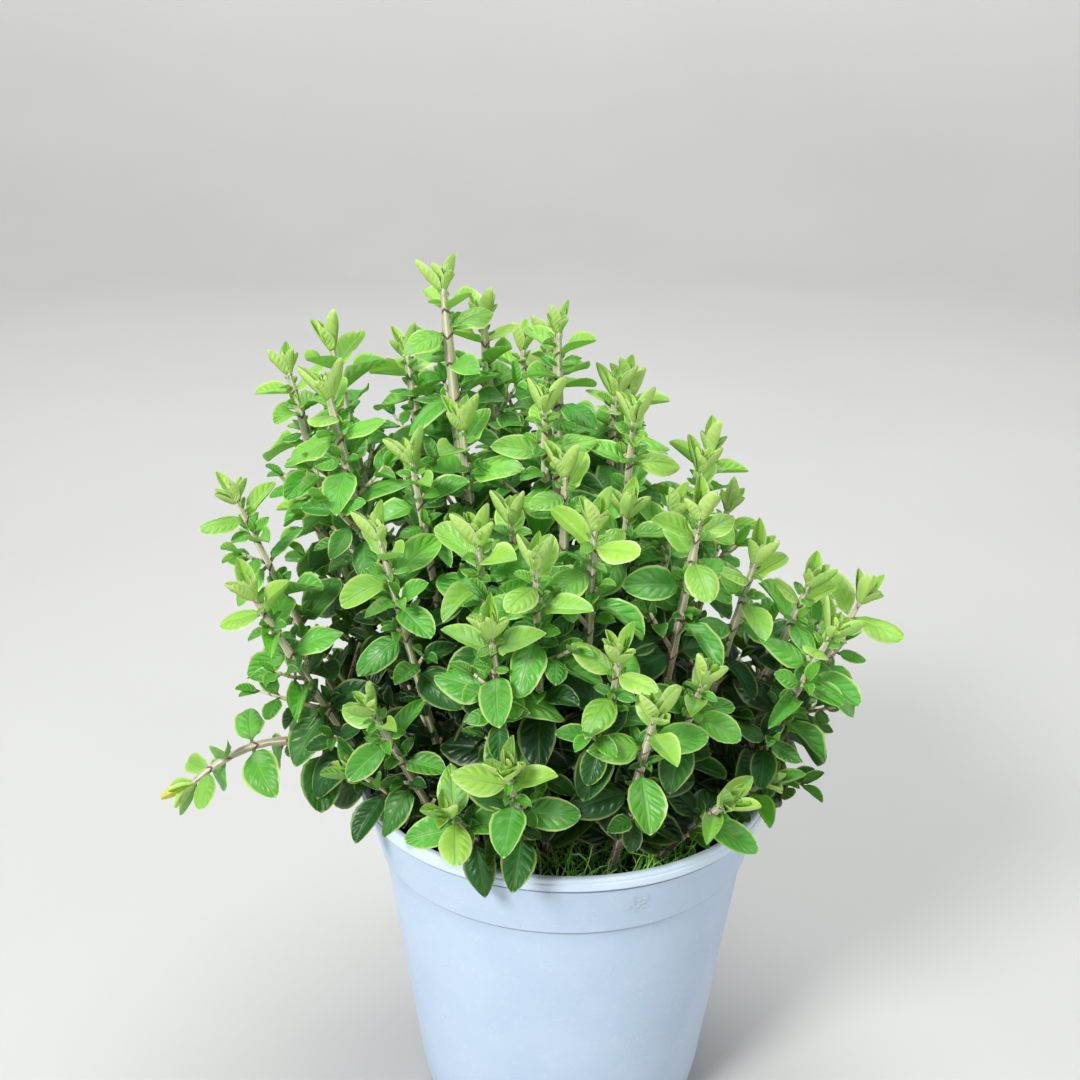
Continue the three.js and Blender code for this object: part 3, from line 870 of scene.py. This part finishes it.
class Nodes:
    # A new material and short forms for the nodes in it
    def __init__(self, name):
        self.material = bpy.data.materials.new(name)
        self.material.use_nodes = True
        self.nodes, self.links = self.material.node_tree.nodes, self.material.node_tree.links
        self.shader = self.nodes["Principled BSDF"]
        self.position = self.nodes.new("ShaderNodeTexCoord").outputs["Object"]

    def put(self, target, value):
        if isinstance(value, bpy.types.NodeSocket):
            self.links.new(value, target)
        else:
            target.default_value = value

    def fill(self, node, **inputs):
        for key, value in inputs.items():
            self.put(node.inputs[key.replace("_", " ")], value)
        return node

    def dress(self, **inputs):  # the shader's own inputs
        self.fill(self.shader, **inputs)
        return self.material

    def make(self, kind, **inputs):
        return self.fill(self.nodes.new(kind), **inputs)

    def split(self, vector):
        return tuple(self.make("ShaderNodeSeparateXYZ", Vector=vector).outputs)

    def attribute(self, name):
        node = self.make("ShaderNodeAttribute")
        node.attribute_name = name
        return self.split(node.outputs["Vector"])

    def math(self, operation, *values):
        node = self.nodes.new("ShaderNodeMath")
        node.operation = operation
        for socket, value in zip(node.inputs, values):
            self.put(socket, value)
        return node.outputs[0]

    def times(self, first, *others):
        for other in others:
            first = self.math("MULTIPLY", first, other)
        return first

    def plus(self, first, *others):
        for other in others:
            first = self.math("ADD", first, other)
        return first

    def minus(self, a, b):
        return self.math("SUBTRACT", a, b)

    def ramp(self, value, low, high, toLow=0.0, toHigh=1.0):
        node = self.nodes.new("ShaderNodeMapRange")
        node.interpolation_type = "SMOOTHSTEP"
        for socket, given in zip(node.inputs[:5], (value, low, high, toLow, toHigh)):
            self.put(socket, given)
        return node.outputs[0]

    def mix(self, share, a, b, blend="MIX"):
        node = self.nodes.new("ShaderNodeMix")
        node.data_type, node.blend_type = "RGBA", blend
        self.put(node.inputs["Factor"], share)
        for socket, color in ((node.inputs[6], a), (node.inputs[7], b)):
            self.put(socket, color if isinstance(color, bpy.types.NodeSocket) else (*color, 1))
        return node.outputs[2]

    def stages(self, value, color, *steps):  # color after color, each over its own range of a value
        for low, high, after in steps:
            color = self.mix(self.ramp(value, low, high), color, after)
        return color

    def noise(self, scale, detail=3.0, roughness=0.5):
        return self.make("ShaderNodeTexNoise", Vector=self.position, Scale=scale, Detail=detail,
                         Roughness=roughness).outputs["Fac"]

    def dots(self, scale):  # distance from scattered points
        node = self.make("ShaderNodeTexVoronoi", Vector=self.position, Scale=scale)
        return node.outputs["Distance"]

    def near(self, place):  # distance in millimetres from a place
        node = self.nodes.new("ShaderNodeVectorMath")
        node.operation = "DISTANCE"
        self.put(node.inputs[0], self.position)
        self.put(node.inputs[1], tuple(c * mm for c in place))
        return self.times(node.outputs["Value"], 1 / mm)

    def heights(self):
        return self.split(self.position)[2]

    def bump(self, height, strength, distance, **after):
        return self.make("ShaderNodeBump", Height=height, Strength=strength, Distance=distance,
                         **after).outputs["Normal"]


leafLook = {
    "young": (0.38, 0.66, 0.12), "grown": (0.145, 0.55, 0.075), "old": (0.016, 0.115, 0.026),
    "deepShade": (0.0035, 0.026, 0.009), "paintedSheen": (0.42, 0.70, 0.36),
    "cooler": (0.5, 0.66, 0.75), "warmer": (1.4, 1.18, 1.0),  # these multiply the color
    "underYoung": (0.61, 0.88, 0.22), "under": (0.46, 0.73, 0.29), "underOld": (0.14, 0.32, 0.10),
    "underDeepShade": (0.015, 0.06, 0.02), "underVein": (0.55, 0.75, 0.3),
    "margin": (0.62, 0.78, 0.27), "downy": (0.76, 0.88, 0.46), "vein": (0.40, 0.70, 0.22),
    "petiole": (0.40, 0.12, 0.08), "glow": (0.66, 1.0, 0.18), "yellow": (0.80, 0.72, 0.06),
    "lightThrough": 0.32, "lightThroughBud": 0.18, "lightThroughUnder": 0.55,
    "veins": 6.4, "veinSlant": 1.55,  # side veins leave the midrib forwards, four or five to a side
    "roughness": 0.28, "relief": 0.0005,
}


def leafTop(n, age, tint, mottled, a, lines):
    look = leafLook
    # Age and painted shade both darken the top; past 0.9 only painted shade raises the age
    color = n.stages(age, look["young"], (0.0, 0.36, look["grown"]), (0.38, 0.95, look["old"]),
                     (0.9, 1.4, look["deepShade"]))
    cooled = n.times(n.ramp(tint, 0.4, 0.0), n.ramp(age, 0.05, 0.4, 0.1, 0.8))
    color = n.mix(cooled, color, n.mix(1.0, color, look["cooler"], "MULTIPLY"))
    warmed = n.ramp(n.plus(n.times(tint, 0.6), n.times(mottled, 0.6)), 0.2, 1.0, 0.0, 0.7)
    color = n.mix(warmed, color, n.mix(1.0, color, look["warmer"], "MULTIPLY"))
    # Painted sheen: soft pale patches on the blades' tops, fewer near the margins and on dark
    # leaves, stand in for the sky's reflection
    paintedSheenShare = n.times(n.ramp(n.noise(170, 2), 0.48, 0.72), n.ramp(a, 0.9, 0.45),
                      n.ramp(age, 1.0, 0.4, 0.0, 0.55))
    color = n.mix(paintedSheenShare, color, look["paintedSheen"])
    veined = n.times(lines, n.ramp(age, 0.4, 1.0, 0.5, 0.15))
    return n.mix(veined, color, n.mix(0.6, color, look["vein"]))


def leafUnder(n, age, lines):
    look = leafLook
    # The underside darkens with age and painted shade, darkest where the painted shade is heaviest
    color = n.stages(age, look["underYoung"], (0.0, 0.15, look["under"]),
                     (0.15, 0.9, look["underOld"]), (0.8, 1.35, look["underDeepShade"]))
    return n.mix(n.times(lines, 0.5), color, look["underVein"])


def leafSurface():
    look = leafLook
    n = Nodes("marjoram_leaf")
    u, v, _ = n.attribute("place")
    age, tint, under = n.attribute("growth")
    a = n.math("ABSOLUTE", u)
    mottled = n.noise(330, 3)
    count = n.minus(n.times(v, look["veins"]), n.times(a, look["veinSlant"]))
    wave = n.math("ABSOLUTE", n.minus(n.math("FRACT", count), 0.5))
    veins = n.times(n.ramp(wave, 0.36, 0.5), n.ramp(a, 0.8, 0.5), n.ramp(v, 0.16, 0.26))
    midrib = n.times(n.ramp(a, 0.12, 0.02), n.ramp(v, 1.0, 0.8))
    lines = n.math("MAXIMUM", midrib, n.times(veins, 0.6))
    color = n.mix(under, leafTop(n, age, tint, mottled, a, lines), leafUnder(n, age, lines))
    edge = n.times(n.math("MAXIMUM", n.ramp(a, 0.82, 0.93), n.ramp(v, 0.95, 0.985)),
                   n.ramp(v, 0.2, 0.3), n.ramp(age, 0.5, 1.2, 0.85, 0.3))
    color = n.mix(edge, color, look["margin"])
    # The youngest are downy, most of all towards their margins
    down = n.times(n.ramp(a, 0.55, 1.0, 0.0, 0.7), n.ramp(age, 0.18, 0.0))
    color = n.mix(down, color, look["downy"])
    flush = n.times(n.ramp(v, 0.17, 0.07), n.ramp(age, 0.02, 0.2), 0.8)
    color = n.mix(flush, color, look["petiole"])
    color = n.mix(n.ramp(tint, 1.2, 1.8, 0.0, 0.85), color, look["yellow"])
    rough = n.plus(n.times(mottled, 0.2), n.times(lines, 0.08), n.times(under, 0.25),
                   look["roughness"])
    # The blade stands up a little between its veins
    quilt = n.times(n.ramp(wave, 0.5, 0.1), n.ramp(a, 0.1, 0.45), n.ramp(a, 0.95, 0.6),
                    n.ramp(age, 0.0, 0.25, 0.2, 0.6))
    relief = n.times(n.minus(quilt, n.times(midrib, 0.45)), n.ramp(under, 0.0, 1.0, 1.0, -1.0))
    relief = n.plus(relief, n.times(n.noise(190, 2), 1.2))
    n.dress(Base_Color=color, Roughness=rough, Normal=n.bump(relief, 1.0, look["relief"]),
            Specular_IOR_Level=0.5)
    glow = n.make("ShaderNodeBsdfTranslucent", Color=n.mix(0.5, color, look["glow"]))
    fromBelow = n.ramp(age, 0.0, 0.15, look["lightThroughBud"], look["lightThroughUnder"])
    both = n.make("ShaderNodeMixShader")
    through = n.ramp(under, 0.0, 1.0, look["lightThrough"], fromBelow)
    for socket, value in zip(both.inputs, (through, n.shader.outputs[0], glow.outputs[0])):
        n.put(socket, value)
    n.put(n.nodes["Material Output"].inputs["Surface"], both.outputs[0])
    return n.material


stemLook = {
    "tan": (0.42, 0.31, 0.15), "green": (0.30, 0.44, 0.11), "young": (0.52, 0.50, 0.30),
    "shaded": (0.17, 0.11, 0.06), "node": (0.09, 0.015, 0.03), "flush": (0.44, 0.20, 0.18),
    "fuzz": (0.82, 0.76, 0.79), "seamDip": 0.8, "seamFrom": 0.62, "seamTo": 0.25,
}


def stemSeams(n, count, corner):
    # Dark seams below each pair run down to a V between the two stalks, which turn by a right angle
    node = n.math("ROUND", count)
    other = n.minus(1.0, n.times(n.math("PINGPONG", node, 1.0), 2.0))
    dip = n.times(n.plus(1.0, n.times(other, corner)), stemLook["seamDip"])
    spacing = n.plus(n.times(count, 2 * pairRule["widening"]), pairRule["step"])
    below = n.times(n.minus(count, node), spacing)
    return n.ramp(n.math("ABSOLUTE", n.minus(below, dip)), stemLook["seamFrom"], stemLook["seamTo"])


def stemSurface():
    look = stemLook
    n = Nodes("marjoram_stem")
    corner, count, share = n.attribute("place")
    _, tint, hair = n.attribute("growth")
    streaks = n.noise(420, 4)
    color = n.mix(n.ramp(streaks, 0.35, 0.65), look["tan"], look["green"])
    color = n.mix(n.ramp(tint, 0.2, 0.9, 0.0, 0.75), color, look["flush"])
    color = n.mix(n.ramp(share, 0.5, 0.1, 0.0, 0.8), color, look["shaded"])
    color = n.mix(n.ramp(share, 0.5, 0.9), color, look["young"])
    onCorner = n.minus(n.times(corner, corner, 2.0), 1.0)
    color = n.mix(n.ramp(onCorner, -0.5, 0.7, 0.0, 0.85), color, look["fuzz"])
    seams = n.times(stemSeams(n, count, corner), n.ramp(share, 0.995, 0.97), 0.9)
    color = n.mix(seams, color, look["node"])
    color = n.mix(hair, color, look["fuzz"])
    return n.dress(Base_Color=color, Roughness=n.ramp(streaks, 0.3, 0.7, 0.5, 0.75),
                   Normal=n.bump(n.noise(1500, 3), 0.4, 0.0003), Sheen_Weight=0.8,
                   Sheen_Roughness=0.35)


potLook = {
    "body": (0.50, 0.63, 0.82), "cloud": (0.54, 0.665, 0.85), "lip": (0.69, 0.81, 0.97),
    "chip": (0.76, 0.85, 0.95), "creaseShade": (0.13, 0.16, 0.21), "creaseShadeWidth": 0.0008,
    "dirt": (0.16, 0.14, 0.09), "smudge": (21, -58.5, 99), "smudgeReach": 5.5,
    "footGrime": 0.012,
}


def potPlastic():
    look = potLook
    n = Nodes("pale_plastic")
    z = n.heights()
    cloud, fine = n.noise(38, 4, 0.6), n.noise(900, 4, 0.6)
    color = n.mix(n.ramp(cloud, 0.35, 0.7), look["body"], look["cloud"])
    color = n.mix(n.ramp(n.noise(420, 3, 0.7), 0.5, 0.75, 0.0, 0.15), color, look["chip"])
    lipBottom = (potShape["height"] - potShape["lipHeight"]) * mm
    collarBottom = (potShape["height"] - potShape["collarHeight"]) * mm
    # Painted highlight: the lip is coloured paler from 1 mm above its lower edge up, where the
    # light catches it
    color = n.mix(n.ramp(z, lipBottom, lipBottom + 0.001, 0.0, 0.8), color, look["lip"])
    for height in (lipBottom - 0.0004, collarBottom - 0.0002):  # painted shade in the two creases, below the lip and at the collar's step
        gap = n.math("ABSOLUTE", n.minus(z, height))
        color = n.mix(n.ramp(gap, look["creaseShadeWidth"], 0.0001, 0.0, 0.75), color, look["creaseShade"])
    chips = n.times(n.ramp(n.dots(620), 0.26, 0.1), n.ramp(n.noise(90, 2), 0.48, 0.62), 0.35)
    color = n.mix(chips, color, look["chip"])
    # Specks of soil, a dirty patch on the collar, and a little grime round the foot
    specks = n.times(n.ramp(n.dots(150), 0.055, 0.02), n.ramp(n.noise(45, 2), 0.56, 0.62), 0.5)
    smudge = n.times(n.ramp(n.near(look["smudge"]), look["smudgeReach"], 1.0),
                     n.ramp(n.noise(900, 4, 0.7), 0.42, 0.66), 0.5)
    grime = n.times(n.ramp(z, look["footGrime"], 0.0), n.ramp(n.noise(160, 4, 0.7), 0.4, 0.7), 0.35)
    for dirt in (specks, smudge, grime):
        color = n.mix(dirt, color, look["dirt"])
    return n.dress(Base_Color=color, Roughness=n.ramp(fine, 0.3, 0.7, 0.4, 0.58),
                   Normal=n.bump(fine, 0.15, 0.0003, Normal=n.bump(cloud, 0.12, 0.002)),
                   Specular_IOR_Level=0.45)


soilLook = {"dark": (0.012, 0.009, 0.006), "light": (0.055, 0.036, 0.022),
            "fibre": (0.13, 0.09, 0.055)}


def soilSurface():
    n = Nodes("potting_soil")
    lumps = n.noise(240, 6, 0.7)
    color = n.mix(n.ramp(lumps, 0.35, 0.7), soilLook["dark"], soilLook["light"])
    color = n.mix(n.times(n.ramp(n.dots(900), 0.16, 0.05), 0.4), color, soilLook["fibre"])
    return n.dress(Base_Color=color, Roughness=n.ramp(lumps, 0.3, 0.7, 0.75, 0.95),
                   Normal=n.bump(n.noise(1100, 5, 0.7), 0.9, 0.0008))


weedLook = {"dark": (0.05, 0.46, 0.03), "light": (0.46, 1.0, 0.14), "pale": (0.7, 1.0, 0.35)}


def weedSurface():
    n = Nodes("thread_weed")
    tint = n.attribute("growth")[1]
    color = n.mix(n.ramp(tint, 0.0, 1.0), weedLook["dark"], weedLook["light"])
    # Painted highlights: pale patches scattered along the threads
    color = n.mix(n.ramp(n.noise(500, 2), 0.35, 0.75, 0, 0.5), color, weedLook["pale"])
    return n.dress(Base_Color=color, Roughness=n.ramp(n.noise(700, 2), 0.3, 0.7, 0.3, 0.5),
                   Normal=n.bump(n.noise(1800, 2), 0.3, 0.0003))


# Soil: a dipped bed with crumbs on it, down to the pot's floor

def soilTop(x, y):
    s = soilShape
    bump = 0.9 * math.sin(0.21 * x + 1.3) * math.sin(0.19 * y + 0.4)
    bump += 0.5 * math.sin(0.47 * x + 0.33 * y + 2) * math.cos(0.39 * y - 0.21 * x)
    edge = clamp((math.hypot(x, y) - s["edgeFrom"]) / s["edgeOver"], 0, 1)
    return s["height"] + s["bumps"] * 0.6 * bump * (1 - 0.6 * edge) - s["edgeDip"] * edge


def makeSoil(rng):
    s = soilShape
    parts = MeshParts()
    sides = s["sides"]
    collarBottom = potShape["height"] - potShape["collarHeight"]
    atWall = [potShape["floor"] + s["gap"], *s["wallRings"], collarBottom]
    rings = [[around(innerRadius(z) - s["gap"], 360 * i / sides, z) for i in range(sides)]
             for z in atWall]
    for k in range(s["rings"]):
        reach = (innerRadius(95) - s["gap"]) * (1 - k / s["rings"])
        ring = []
        for i in range(sides):
            p = around(reach, 360 * i / sides)
            rough = 0 if k == 0 else rng.normal(0, s["rough"])
            ring.append(np.array([p[0], p[1], soilTop(p[0], p[1]) + rough]))
        rings.append(ring)
    walls, ends = ringFaces(len(rings), sides)
    middles = [(0, 0, atWall[0]), (0, 0, soilTop(0, 0))]
    points = np.array([p for ring in rings for p in ring] + middles)
    parts.add(points, [(walls, 0), (ends, 0)], np.zeros((len(points), 3)), (0, 0, 0))
    for _ in range(s["crumbs"]):
        place = around(s["crumbReach"] * math.sqrt(rng.random()), 360 * rng.random())
        addCrumb(parts, place[:2], rng.uniform(*s["crumbSize"]), rng)
    return parts


def icosahedron():
    g = (1 + math.sqrt(5)) / 2
    points = np.array([[-1, g, 0], [1, g, 0], [-1, -g, 0], [1, -g, 0], [0, -1, g], [0, 1, g],
                       [0, -1, -g], [0, 1, -g], [g, 0, -1], [g, 0, 1], [-g, 0, -1], [-g, 0, 1]])
    faces = np.array([[0, 11, 5], [0, 5, 1], [0, 1, 7], [0, 7, 10], [0, 10, 11],
                      [1, 5, 9], [5, 11, 4], [11, 10, 2], [10, 7, 6], [7, 1, 8],
                      [3, 9, 4], [3, 4, 2], [3, 2, 6], [3, 6, 8], [3, 8, 9],
                      [4, 9, 5], [2, 4, 11], [6, 2, 10], [8, 6, 7], [9, 8, 1]])
    return points / np.linalg.norm(points[0]), faces


crumbPoints, crumbFaces = icosahedron()


def addCrumb(parts, place, size, rng):
    shape = crumbPoints * rng.uniform(0.65, 1.25, (12, 1)) * size * rng.uniform(0.6, 1.1, 3)
    middle = np.array([*place, soilTop(*place) + size * 0.35])
    parts.add(shape + middle, [(crumbFaces, 0)], np.zeros((12, 3)), (0, 0, 0))


# Weed: a tangle of fine threads at the front of the soil

weedShape = {
    "left": -14, "right": 42, "back": -14, "reach": 57, "threads": 380, "radius": 0.36, "steps": 6,
    "length": (10, 32), "lean": (25, 85), "bow": 0.35, "sag": 0.25, "taper": 0.75,
    "sunk": 0.8, "inside": 59.5,
}


def makeWeed(rng):
    w = weedShape
    parts = MeshParts()
    shares = np.linspace(0, 1, w["steps"])[:, None]
    for _ in range(w["threads"]):
        x = rng.uniform(w["left"], w["right"])
        y = rng.uniform(-math.sqrt(w["reach"] ** 2 - x * x), w["back"])
        root = np.array([x, y, soilTop(x, y) - w["sunk"]])
        lean = math.radians(rng.uniform(*w["lean"]))
        way = around(math.cos(lean), 360 * rng.random(), math.sin(lean))
        length = rng.uniform(*w["length"])
        bow = rng.normal(0, w["bow"], 3)
        line = root + way * length * shares + bow * length * shares * (1 - shares)
        line = line - up * length * w["sag"] * shares ** 2.5
        reach = np.hypot(line[:, 0], line[:, 1])
        past = (line[:, 2] < potShape["height"] + 1) & (reach > w["inside"])
        line[:, :2] *= np.where(past, w["inside"] / reach, 1)[:, None]
        line[1:, 2] = np.maximum(line[1:, 2], soilShape["height"] - 1)
        radii = w["radius"] * (1 - w["taper"] * shares[:, 0])
        addTube(parts, line, radii, unit(np.cross(way, up + 0.01)), 0,
                np.concatenate([shares, shares], 1), (0, rng.random(), 0), 0, 0.0, sides=4)
    return parts


# Shoots

def nodeTips(name):
    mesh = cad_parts[name].data
    points = np.zeros(len(mesh.vertices) * 3, np.float32)
    mesh.vertices.foreach_get("co", points)
    return points.reshape(-1, 3) / mm


def cadLeaves(stem, name):
    # The CAD's leaves: each took the first clear turn, known here by where its tip is
    found = []
    corners = nodeTips(name)
    for pair in leaves["modelledPairs"]:
        if pairPlace(pair) > stem.length * stems["leafyShare"]:
            continue
        for side in (0, 1):
            tried = [pairLeaf(stem, pair, side, *turns) for turns in clearTurns]
            gaps = [np.linalg.norm(corners - leaf.end, axis=1).min() for leaf in tried]
            best = int(np.argmin(gaps))
            if gaps[best] < 0.3:
                found.append((pair, side, tried[best]))
    return found


def stemPairs(stem):  # the pairs that fit on a stem
    length = stem.length * leaves["extraShare"]
    return [pair for pair in range(leaves["mostPairs"]) if pairPlace(pair) < length]


def moreLeaves(stem, known, crowd):
    found = []
    taken = {(pair, side) for pair, side, _ in known}
    places = [(pair, side) for pair in stemPairs(stem) for side in (0, 1)]
    for pair, side in places:
        if (pair, side) in taken:
            continue
        tried = []
        for turns in clearTurns:
            leaf = pairLeaf(stem, pair, side, *turns)
            turnToLight(leaf, 0.35 * clamp(pair / 3, 0, 1), 2 * leaves["faceFront"])
            tried.append((crowd.room(leafPoints(leaf), stem.number), leaf))
            if tried[-1][0] >= crowding["enough"]:
                break
        room, leaf = max(tried, key=lambda pick: pick[0])
        if room >= crowding["least"]:
            crowd.add(leafPoints(leaf), stem.number)
            found.append((pair, side, leaf))
    return found


def makeShoot(stem, name, every, crowd, materials):
    rng = np.random.default_rng(500 + stem.number)
    stem.tint = rng.random()
    parts = MeshParts()
    addStem(parts, stem, {pair: alongStem(stem, pairPlace(pair))[1] for pair in stemPairs(stem)})
    trails = stem.number == trailing["number"]
    for pair, side, leaf in every:
        leaf.root = curvePoint(stem, leaf.t)
        leaf.length *= leaves["fuller"]
        shapeLeaf(leaf, rng, pair)
        age = clamp(clamp(pair / 6, 0, 1) * 0.5 + rng.uniform(-0.06, 0.08), 0, 1)
        tint = rng.random()
        if trails and (pair, side) == trailing["yellowed"]:
            tint = 2
        addBlade(parts, leaf, shadedAge(age, crowd, leaf.root + leaf.way * 8), tint)
        if not trails:
            sideShoot(parts, stem, leaf, side, rng, crowd)
    budLeaves(parts, stem, rng)
    stemHairs(parts, stem, rng)
    piece = parts.build(name + "_leafy", materials)
    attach(piece, "root")
    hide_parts(name)
    return piece


def makePlant():
    grown = growStems()
    crowd = Crowd()
    known = []
    for stem in grown:
        name = f"shoot_{stem.number + 1:02d}"
        found = cadLeaves(stem, name)
        known.append(found)
        for t in np.linspace(0, 1, 24):
            crowd.add(curvePoint(stem, t)[None], stem.number)
        for _, _, leaf in found:
            crowd.add(leafPoints(leaf), stem.number)
    print("CAD leaves found:", sum(len(found) for found in known))
    every = [found + moreLeaves(stem, found, crowd) for stem, found in zip(grown, known)]
    print("leaves on the stems:", sum(len(found) for found in every))
    materials = [leafSurface(), stemSurface()]
    for stem, found in zip(grown, every):
        makeShoot(stem, f"shoot_{stem.number + 1:02d}", found, crowd, materials)


def finishPiece(parts, name, node, material):
    piece = parts.build(name, [material])
    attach(piece, "root")
    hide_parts(node)
    return piece


# Camera, floor and light

shot = {"place": (-8.6, -430, 342), "down": 19.56, "roll": 0.63, "lens": 50, "sensor": 36,
        "clip": (0.01, 20)}


def makeCamera():
    down, roll = math.radians(shot["down"]), math.radians(shot["roll"])
    ahead = np.array([0, math.cos(down), -math.sin(down)])
    upright = np.array([0, math.sin(down), math.cos(down)])
    right = np.array([1.0, 0, 0])
    rolledRight = math.cos(roll) * right + math.sin(roll) * upright
    rolledUp = -math.sin(roll) * right + math.cos(roll) * upright
    data = bpy.data.cameras.new("camera")
    data.lens, data.sensor_width = shot["lens"], shot["sensor"]
    data.clip_start, data.clip_end = shot["clip"]
    camera = newPiece("camera", data)
    axes = np.stack([rolledRight, rolledUp, -ahead], 1)
    rows = [[*axes[i], shot["place"][i] * mm] for i in range(3)]
    camera.matrix_world = Matrix(rows + [[0, 0, 0, 1]])
    bpy.context.scene.camera = camera


lights = {
    "key": {"place": (-0.75, -1.0, 1.05), "size": 0.45, "power": 22, "color": (1.0, 0.985, 0.95)},
    "top": {"place": (0.1, 0.1, 1.5), "size": 0.9, "power": 12, "color": (0.97, 1.0, 0.98)},
    "fill": {"place": (1.1, -0.7, 0.7), "size": 1.0, "power": 3.2, "color": (1.0, 0.92, 0.83)},
    "wall": {"place": (0, 0.8, 1.8), "size": 1.4, "power": 20, "color": (1.0, 1.0, 1.0),
             "aim": (0, 2.5, 0.5)},
}
plantMiddle = (0, 0, 0.15)
world = {"color": (0.93, 0.97, 1.0), "strength": 0.27}


def makeLight():
    scene = bpy.context.scene
    for name, l in lights.items():
        data = bpy.data.lights.new(name, "AREA")
        data.shape, data.size, data.energy, data.color = "DISK", l["size"], l["power"], l["color"]
        lamp = newPiece(name, data)
        lamp.location = l["place"]
        aim = Vector(l.get("aim", plantMiddle)) - lamp.location
        lamp.rotation_euler = aim.to_track_quat("-Z", "Y").to_euler()
    sky = bpy.data.worlds.new("studio")
    sky.use_nodes = True
    background = sky.node_tree.nodes["Background"]
    background.inputs["Color"].default_value = (*world["color"], 1)
    background.inputs["Strength"].default_value = world["strength"]
    scene.world = sky
    scene.view_settings.view_transform = "Standard"


floorShape = {"radius": 1.6, "bend": 0.9, "wall": 0.8, "sides": 96, "sharpAngle": 60}
floorLook = {"dark": (0.54, 0.54, 0.535), "light": (0.56, 0.56, 0.555),
             "far": (0.92, 0.92, 0.915), "farHeight": 1.1}  # the far wall gets less light


def makeFloor():
    f = floorShape
    profile = [(0, 0), (f["radius"], 0)]
    profile += arc((f["radius"], f["bend"]), f["bend"], -90, 0, 16)[1:]
    profile.append((f["radius"] + f["bend"], f["bend"] + f["wall"]))
    floor = lathe("floor", [(r / mm, z / mm) for r, z in profile], f["sides"], f["sharpAngle"])
    n = Nodes("pale_floor")
    color = n.mix(n.ramp(n.noise(3, 2), 0.3, 0.7), floorLook["dark"], floorLook["light"])
    color = n.mix(n.ramp(n.heights(), 0.0, floorLook["farHeight"]), color, floorLook["far"])
    floor.data.materials.append(n.dress(Base_Color=color, Roughness=0.85))
    floor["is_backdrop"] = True


makeCamera()
print("camera set")
makePot()
print("pot made")
finishPiece(makeSoil(np.random.default_rng(11)), "soil_bed", "root_ball", soilSurface())
finishPiece(makeWeed(np.random.default_rng(23)), "weed_threads", "weed", weedSurface())
print("soil and weed made")
makePlant()
print("shoots made")
makeFloor()
makeLight()

counts = [sum(len(p.vertices) - 2 for p in o.data.polygons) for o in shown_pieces()]
print("triangles:", sum(counts), "largest piece:", max(counts), "blades:", bladeCount)
